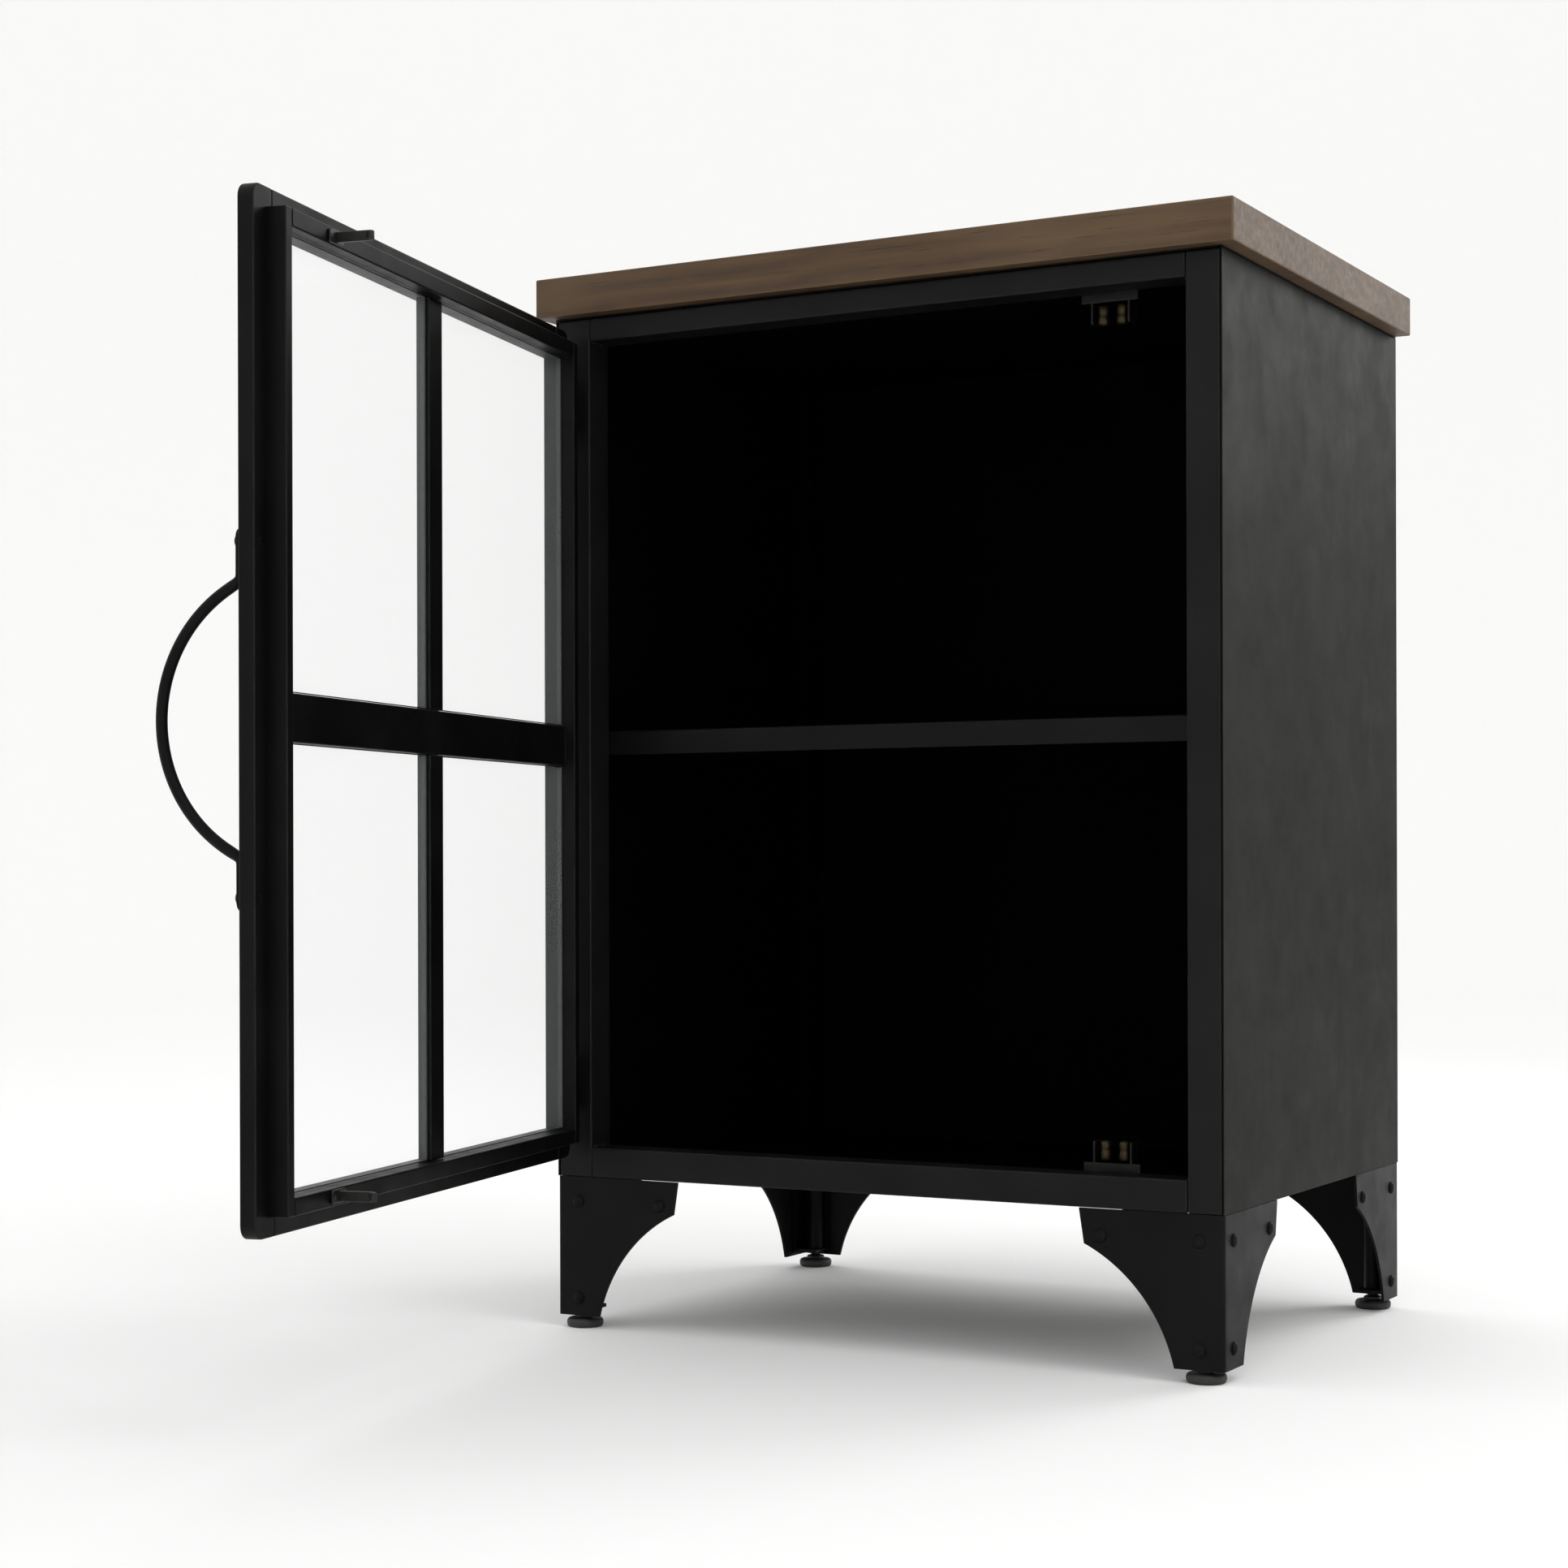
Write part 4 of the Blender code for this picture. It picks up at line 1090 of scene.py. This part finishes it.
def handleShell():
    # rise: a circular bow eased into the flat ends by a soft maximum; the section is an ellipse
    # that turns from round to flat
    q = handleSizes
    fine = np.linspace(-handleHalf, handleHalf, 6001)
    flat = q["gap"] + q["endThick"]
    arc = np.sqrt(np.maximum(q["bow"] ** 2 - fine**2, 0.0)) - q["bow"] + handleRise
    rise = flat + 2.5 * np.logaddexp(0.0, (arc - flat) / 2.5)
    length = np.concatenate([[0.0], np.cumsum(np.hypot(np.diff(fine), np.diff(rise)))])
    tips = (1 - np.cos(np.linspace(0.0, math.pi / 2, 9))) * 5.0
    stations = np.concatenate(
        [tips[:-1], np.linspace(5.0, length[-1] - 5.0, 150), length[-1] - tips[::-1][1:]],
    )
    z = np.interp(stations, length, fine)
    n = np.interp(stations, length, rise)
    dz, dn = np.gradient(z, stations), np.gradient(n, stations)
    size = np.hypot(dz, dn)
    bend = math.sqrt(q["bow"] ** 2 - (q["bow"] - handleRise) ** 2)
    share = np.clip((np.abs(z) - bend + 4.0) / 8.0, 0.0, 1.0)
    share = share * share * (3 - 2 * share)
    wide = q["rod"] + (q["endWide"] - q["rod"]) * share
    thick = q["rod"] + (q["endThick"] - q["rod"]) * share
    thick = np.where(share > 0.5, np.minimum(thick, n - q["gap"]), thick)
    tip = np.clip((handleHalf - np.abs(z)) / q["endWide"], 0.0, 1.0)
    wide = wide * np.sqrt(np.clip(1 - (1 - tip) ** 2, 0.02, 1.0))
    turn = np.linspace(0.0, math.tau, 28, endpoint=False)
    power = 2 + 2.2 * share[:, None]  # flat ends have squarer sections
    c, s = np.cos(turn)[None], np.sin(turn)[None]
    a = wide[:, None] * np.sign(c) * np.abs(c) ** (2 / power)
    b = thick[:, None] * np.sign(s) * np.abs(s) ** (2 / power)
    points = np.stack(
        [
            handleAlong + a,
            outerFace - n[:, None] - b * (dz / size)[:, None],
            handleMiddle + z[:, None] - b * (dn / size)[:, None],
        ],
        axis=-1,
    )
    return tubeShell(fromLeaf(points))


addPiece("handleBow", [handleShell()], blackPaint, "door", ["handle"], 50)
for level, side in (("bottom", -1), ("top", 1)):
    low, high = leafBox("handle_rivet_" + level)
    seat = outerFace - handleSizes["gap"] - 2 * handleSizes["endThick"] - 0.25
    base = (handleAlong, seat, handleMiddle + side * handleSizes["rivets"] / 2)
    head = domeProfile((high[0] - low[0]) / 2, seat - low[1])
    tail = high[1] - seat
    shank = [(0.0, -tail), (1.7, -tail), (1.9, -tail + 0.2), (1.9, 0.4), (0.0, 0.4)]
    addPiece(
        "handleRivet_" + level,
        [
            turnedShell(head, base, (0, -1, 0), fromLeaf, 32),
            turnedShell(shank, base, (0, -1, 0), fromLeaf, 32),
        ],
        blackPaint, "door", ["handle_rivet_" + level],
    )
print("handle made")

# barrel hinges

hingeSizes = {"barrel": 4.2, "long": 20.0, "tab": 3.0, "pin": 2.4}
axisX = (hingePoint[0] - bodyCorner[0]) / mm
axisY = (hingePoint[1] - bodyCorner[1]) / mm


def barrelProfile(radius, length, foot, crown):
    # an upright barrel: a small chamfer at the joint, a rounded outer end
    t = np.linspace(0.0, math.pi / 2, 6)
    rows = [(0.0, 0.0), (radius - foot, 0.0), (radius, foot), (radius, length - crown)]
    rows += [(radius - crown * (1 - math.cos(a)), length - crown * (1 - math.sin(a))) for a in t[1:]]
    return rows + [(0.0, length)]


for level in ("bottom", "top"):
    q = hingeSizes
    low, high = bodyBox("hinge_knuckle_frame_" + level)
    joint = low[2] + q["long"] - 0.3
    addPiece(
        "hingeFrameHalf_" + level,
        [
            turnedShell(
                barrelProfile(q["barrel"], q["long"] - 0.3, 0.5, 2.0),
                (axisX, axisY, joint),
                (0, 0, -1),
                sides=40,
            ),
            turnedShell(
                [(0.0, -4.0), (q["pin"], -4.0), (q["pin"], q["long"] - 3.2), (0.0, q["long"] - 2.9)],
                (axisX, axisY, joint),
                (0, 0, 1),
                sides=28,
            ),
            roundedPlate(
                (axisX - q["tab"] / 2, axisY + 1.0, low[2] + 0.8),
                (axisX + q["tab"] / 2, -0.3, joint - 0.8),
                0.5,
            ),
        ],
        blackPaint, "cabinet", ["hinge_knuckle_frame_" + level],
    )
    start = joint + 0.3
    bore = [
        (q["pin"] + 0.15, 0.0), (q["barrel"] - 0.5, 0.0), (q["barrel"], 0.5), (
            q["barrel"],
            q["long"] - 2.0,
        ),
        (q["barrel"] - 0.6, q["long"] - 0.6), (q["barrel"] - 2.0, q["long"]), (0.0, q["long"]),
    ]
    bore = bore + [(0.0, q["long"] - 2.0), (q["pin"] + 0.15, q["long"] - 2.0), (q["pin"] + 0.15, 0.0)]
    addPiece(
        "hingeLeafHalf_" + level,
        [
            turnedShell(bore, (0, 0, start), (0, 0, 1), fromLeaf, 40),
            roundedPlate(
                (3.0, -q["tab"] / 2, start + 0.8),
                (stiles["hinge"][0][0] - 0.3, q["tab"] / 2, start + q["long"] - 0.8),
                0.5,
                fromLeaf,
            ),
        ],
        blackPaint, "door", ["hinge_knuckle_door_" + level],
    )
print("hinges made")

# roller catches and the tongues that enter them

catchSizes = {
    "wall": 1.5,
    "edge": 0.5,
    "corner": 2.5,
    "screw": 2.6,
    "screwOut": 17.5,
    "pinOut": 6.0,
    "cheekRoom": 1.6,
    "tongue": 1.0,
    "bulb": 2.2,
}
for level in ("bottom", "top"):
    q = catchSizes
    low, high = bodyBox("catch_body_" + level)
    side = 1 if level == "bottom" else -1
    seat = low[2] if side > 0 else high[2]
    middle = (low[0] + high[0]) / 2
    rollers = {s: bodyBox(f"catch_roller_{s}_{level}") for s in ("left", "right")}
    wallEnd = (rollers["left"][0][2] if side > 0 else rollers["left"][1][2]) - side * 1.0
    tip = high[2] if side > 0 else low[2]

    def between(a, b):
        return (min(a, b), max(a, b))

    z0, z1 = between(seat, seat + side * q["wall"])
    w0, w1 = between(seat + side * 0.5, wallEnd)
    c0, c1 = between(seat + side * 0.7, tip)
    shells = [
        roundedPlate((low[0], low[1], z0), (high[0], high[1], z1), q["edge"], radii=[q["corner"]] * 4),
        roundedPlate(
            (low[0] + 0.2, low[1] + 0.2, w0),
            (high[0] - 0.2, low[1] + q["wall"], w1),
            q["edge"],
            radii=[0.5, 0.5, 0.5, 0.5],
            axis=1,
        ),
    ]
    cheekGap = rollers["right"][1][0] - middle + q["cheekRoom"]
    for s in (-1, 1):
        a0, a1 = between(middle + s * cheekGap, middle + s * (cheekGap + q["wall"]))
        shells.append(
            roundedPlate(
                (a0, low[1] + 1.0, c0),
                (a1, high[1] - 1.0, c1),
                q["edge"],
                axis=0,
                radii=[2.0, 2.0, 2.0, 2.0],
            ),
        )
        head = [(0.0, 0.9), (1.2, 0.85), (2.1, 0.55), (q["screw"], 0.0), (q["screw"], -0.4), (0.0, -0.4)]
        shells.append(
            turnedShell(
                head,
                (middle + s * q["screwOut"], (low[1] + high[1]) / 2 + 1.0, seat + side * q["wall"]),
                (0, 0, side),
                sides=28,
            ),
        )
    addPiece("catchPlate_" + level, shells, plateSteel, "cabinet", ["catch_body_" + level])
    for s in ("left", "right"):
        rl, rh = rollers[s]
        centre, r, tall = (rl + rh) / 2, (rh[0] - rl[0]) / 2, rh[2] - rl[2]
        waist = [
            (0.0, tall), (r - 1.5, tall), (
                r - 1.2,
                tall - 0.35,
            ), (r - 0.7, tall - 0.35), (r - 0.25, tall - 0.6), (r, tall - 1.2),
            (r, tall * 0.62), (r - 0.25, tall * 0.56), (r - 0.25, tall * 0.44), (r, tall * 0.38),
            (r, 1.2), (r - 0.25, 0.6), (r - 0.7, 0.35), (r - 1.2, 0.35), (r - 1.5, 0.0), (0.0, 0.0),
        ]
        addPiece(
            f"catchRoller_{s}_{level}", [
                turnedShell(waist, (centre[0], centre[1], rl[2]), (0, 0, 1), sides=36),
            ],
            rollerBrass, f"roller_{s}_{level}", [f"catch_roller_{s}_{level}"],
        )
    low, high = leafBox("strike_" + level)
    centre = (low + high) / 2
    plateBack = lipBack + 0.3
    bulb = q["bulb"]
    stem = [(0.0, 2.7), (bulb - 0.5, 2.7), (bulb, 2.2), (bulb, -2.2), (bulb - 0.5, -2.7), (0.0, -2.7)]
    shells = [
        roundedPlate(
            (low[0], plateBack, low[2]),
            (high[0], plateBack + 1.5, high[2]),
            q["edge"],
            fromLeaf,
            [2.2] * 4,
            axis=1,
        ),
        roundedPlate(
            (centre[0] - q["tongue"], plateBack + 0.7, centre[2] - 3.0),
            (centre[0] + q["tongue"], high[1] - bulb, centre[2] + 3.0),
            0.4,
            fromLeaf,
        ),
        turnedShell(stem, (centre[0], high[1] - bulb, centre[2]), (0, 0, 1), fromLeaf, 28),
    ]
    for s in (-1, 1):
        head = [(0.0, 0.7), (0.8, 0.6), (1.5, 0.0), (1.5, -0.3), (0.0, -0.3)]
        shells.append(
            turnedShell(
                head,
                (centre[0] + s * q["pinOut"], plateBack + 1.5, centre[2]),
                (0, 1, 0),
                fromLeaf,
                24,
            ),
        )
    addPiece("strikePlate_" + level, shells, darkSteel, "door", ["strike_" + level])
print("catches made")

# stage, light and camera

stageLook = {"floorRadius": 5.0, "wallRise": 4.0, "tone": (0.97, 0.97, 0.965)}


def stageBowl():
    # a disc that curves up into a wall: radius and height follow a quarter circle past the flat floor
    t = np.linspace(0.0, math.pi / 2, 24)
    radius = np.concatenate(
        [[0.0, 1.0, 2.5], stageLook["floorRadius"] + 2.0 * np.sin(t), [stageLook["floorRadius"] + 2.0]],
    )
    height = np.concatenate([[0.0, 0.0, 0.0], 2.0 * (1 - np.cos(t)), [stageLook["wallRise"]]])
    turn = np.linspace(0.0, math.tau, 96, endpoint=False)
    points = np.stack(
        [radius[:, None] * np.cos(turn), radius[:, None] * np.sin(turn), np.repeat(height[:, None], 96, 1)],
        axis=-1,
    )
    count = len(radius)
    index = np.arange(count * 96).reshape(count, 96)
    after = np.roll(index, -1, axis=1)
    quads = np.stack([index[:-1], after[:-1], after[1:], index[1:]], axis=-1).reshape(-1, 4)
    mesh = bpy.data.meshes.new("stageBowl")
    mesh.from_pydata(points.reshape(-1, 3).tolist(), [], quads.tolist())
    work = bmesh.new()
    work.from_mesh(mesh)
    bmesh.ops.remove_doubles(work, verts=work.verts, dist=1e-6)
    work.to_mesh(mesh)
    work.free()
    mesh.shade_smooth()
    material, tree, surface = newFinish("stagePaper")
    surface.inputs["Base Color"].default_value = (*stageLook["tone"], 1.0)
    surface.inputs["Roughness"].default_value = 0.9
    surface.inputs["Specular IOR Level"].default_value = 0.1
    mesh.materials.append(material)
    bowl = bpy.data.objects.new("stageBowl", mesh)
    bpy.context.scene.collection.objects.link(bowl)


stageBowl()
scene = bpy.context.scene
world = bpy.data.worlds.new("softRoom")
world.use_nodes = True
world.node_tree.nodes["Background"].inputs["Color"].default_value = (1.0, 1.0, 1.0, 1.0)
world.node_tree.nodes["Background"].inputs["Strength"].default_value = 1.0
scene.world = world
scene.view_settings.view_transform = "Standard"


def softLight(name, spot, aim, size, power, tint=(1.0, 1.0, 1.0)):
    data = bpy.data.lights.new(name, "AREA")
    data.shape = "RECTANGLE"
    data.size, data.size_y = size
    data.energy = power
    data.color = tint
    lamp = bpy.data.objects.new(name, data)
    scene.collection.objects.link(lamp)
    lamp.location = spot
    away = np.array(spot) - np.array(aim)
    lamp.rotation_mode = "QUATERNION"
    lamp.rotation_quaternion = Vector(away).to_track_quat("Z", "Y")
    return lamp


softLight("highSide", (2.6, -0.6, 3.2), (0.1, 0.0, 0.4), (1.8, 1.8), 22.0)
softLight("sideSheen", (1.05, 2.0, 1.45), (0.25, 0.1, 0.62), (0.9, 1.1), 11.0)

cameraLook = {
    "spot": (0.87831, -1.63737, 0.3290),
    "yaw": 29.129,
    "roll": 0.15,
    "lens": 65.389,
    "shiftY": 0.05062,
}
camera = bpy.data.objects.new("camera", bpy.data.cameras.new("camera"))
scene.collection.objects.link(camera)
camera.data.sensor_width = 36.0
camera.data.lens = cameraLook["lens"]
camera.data.shift_y = cameraLook["shiftY"]
camera.location = cameraLook["spot"]
camera.rotation_mode = "XYZ"
camera.rotation_euler = (
    math.radians(90.0),
    math.radians(cameraLook["roll"]),
    math.radians(cameraLook["yaw"]),
)
camera.data.clip_start = 0.05
camera.data.clip_end = 60.0
scene.camera = camera
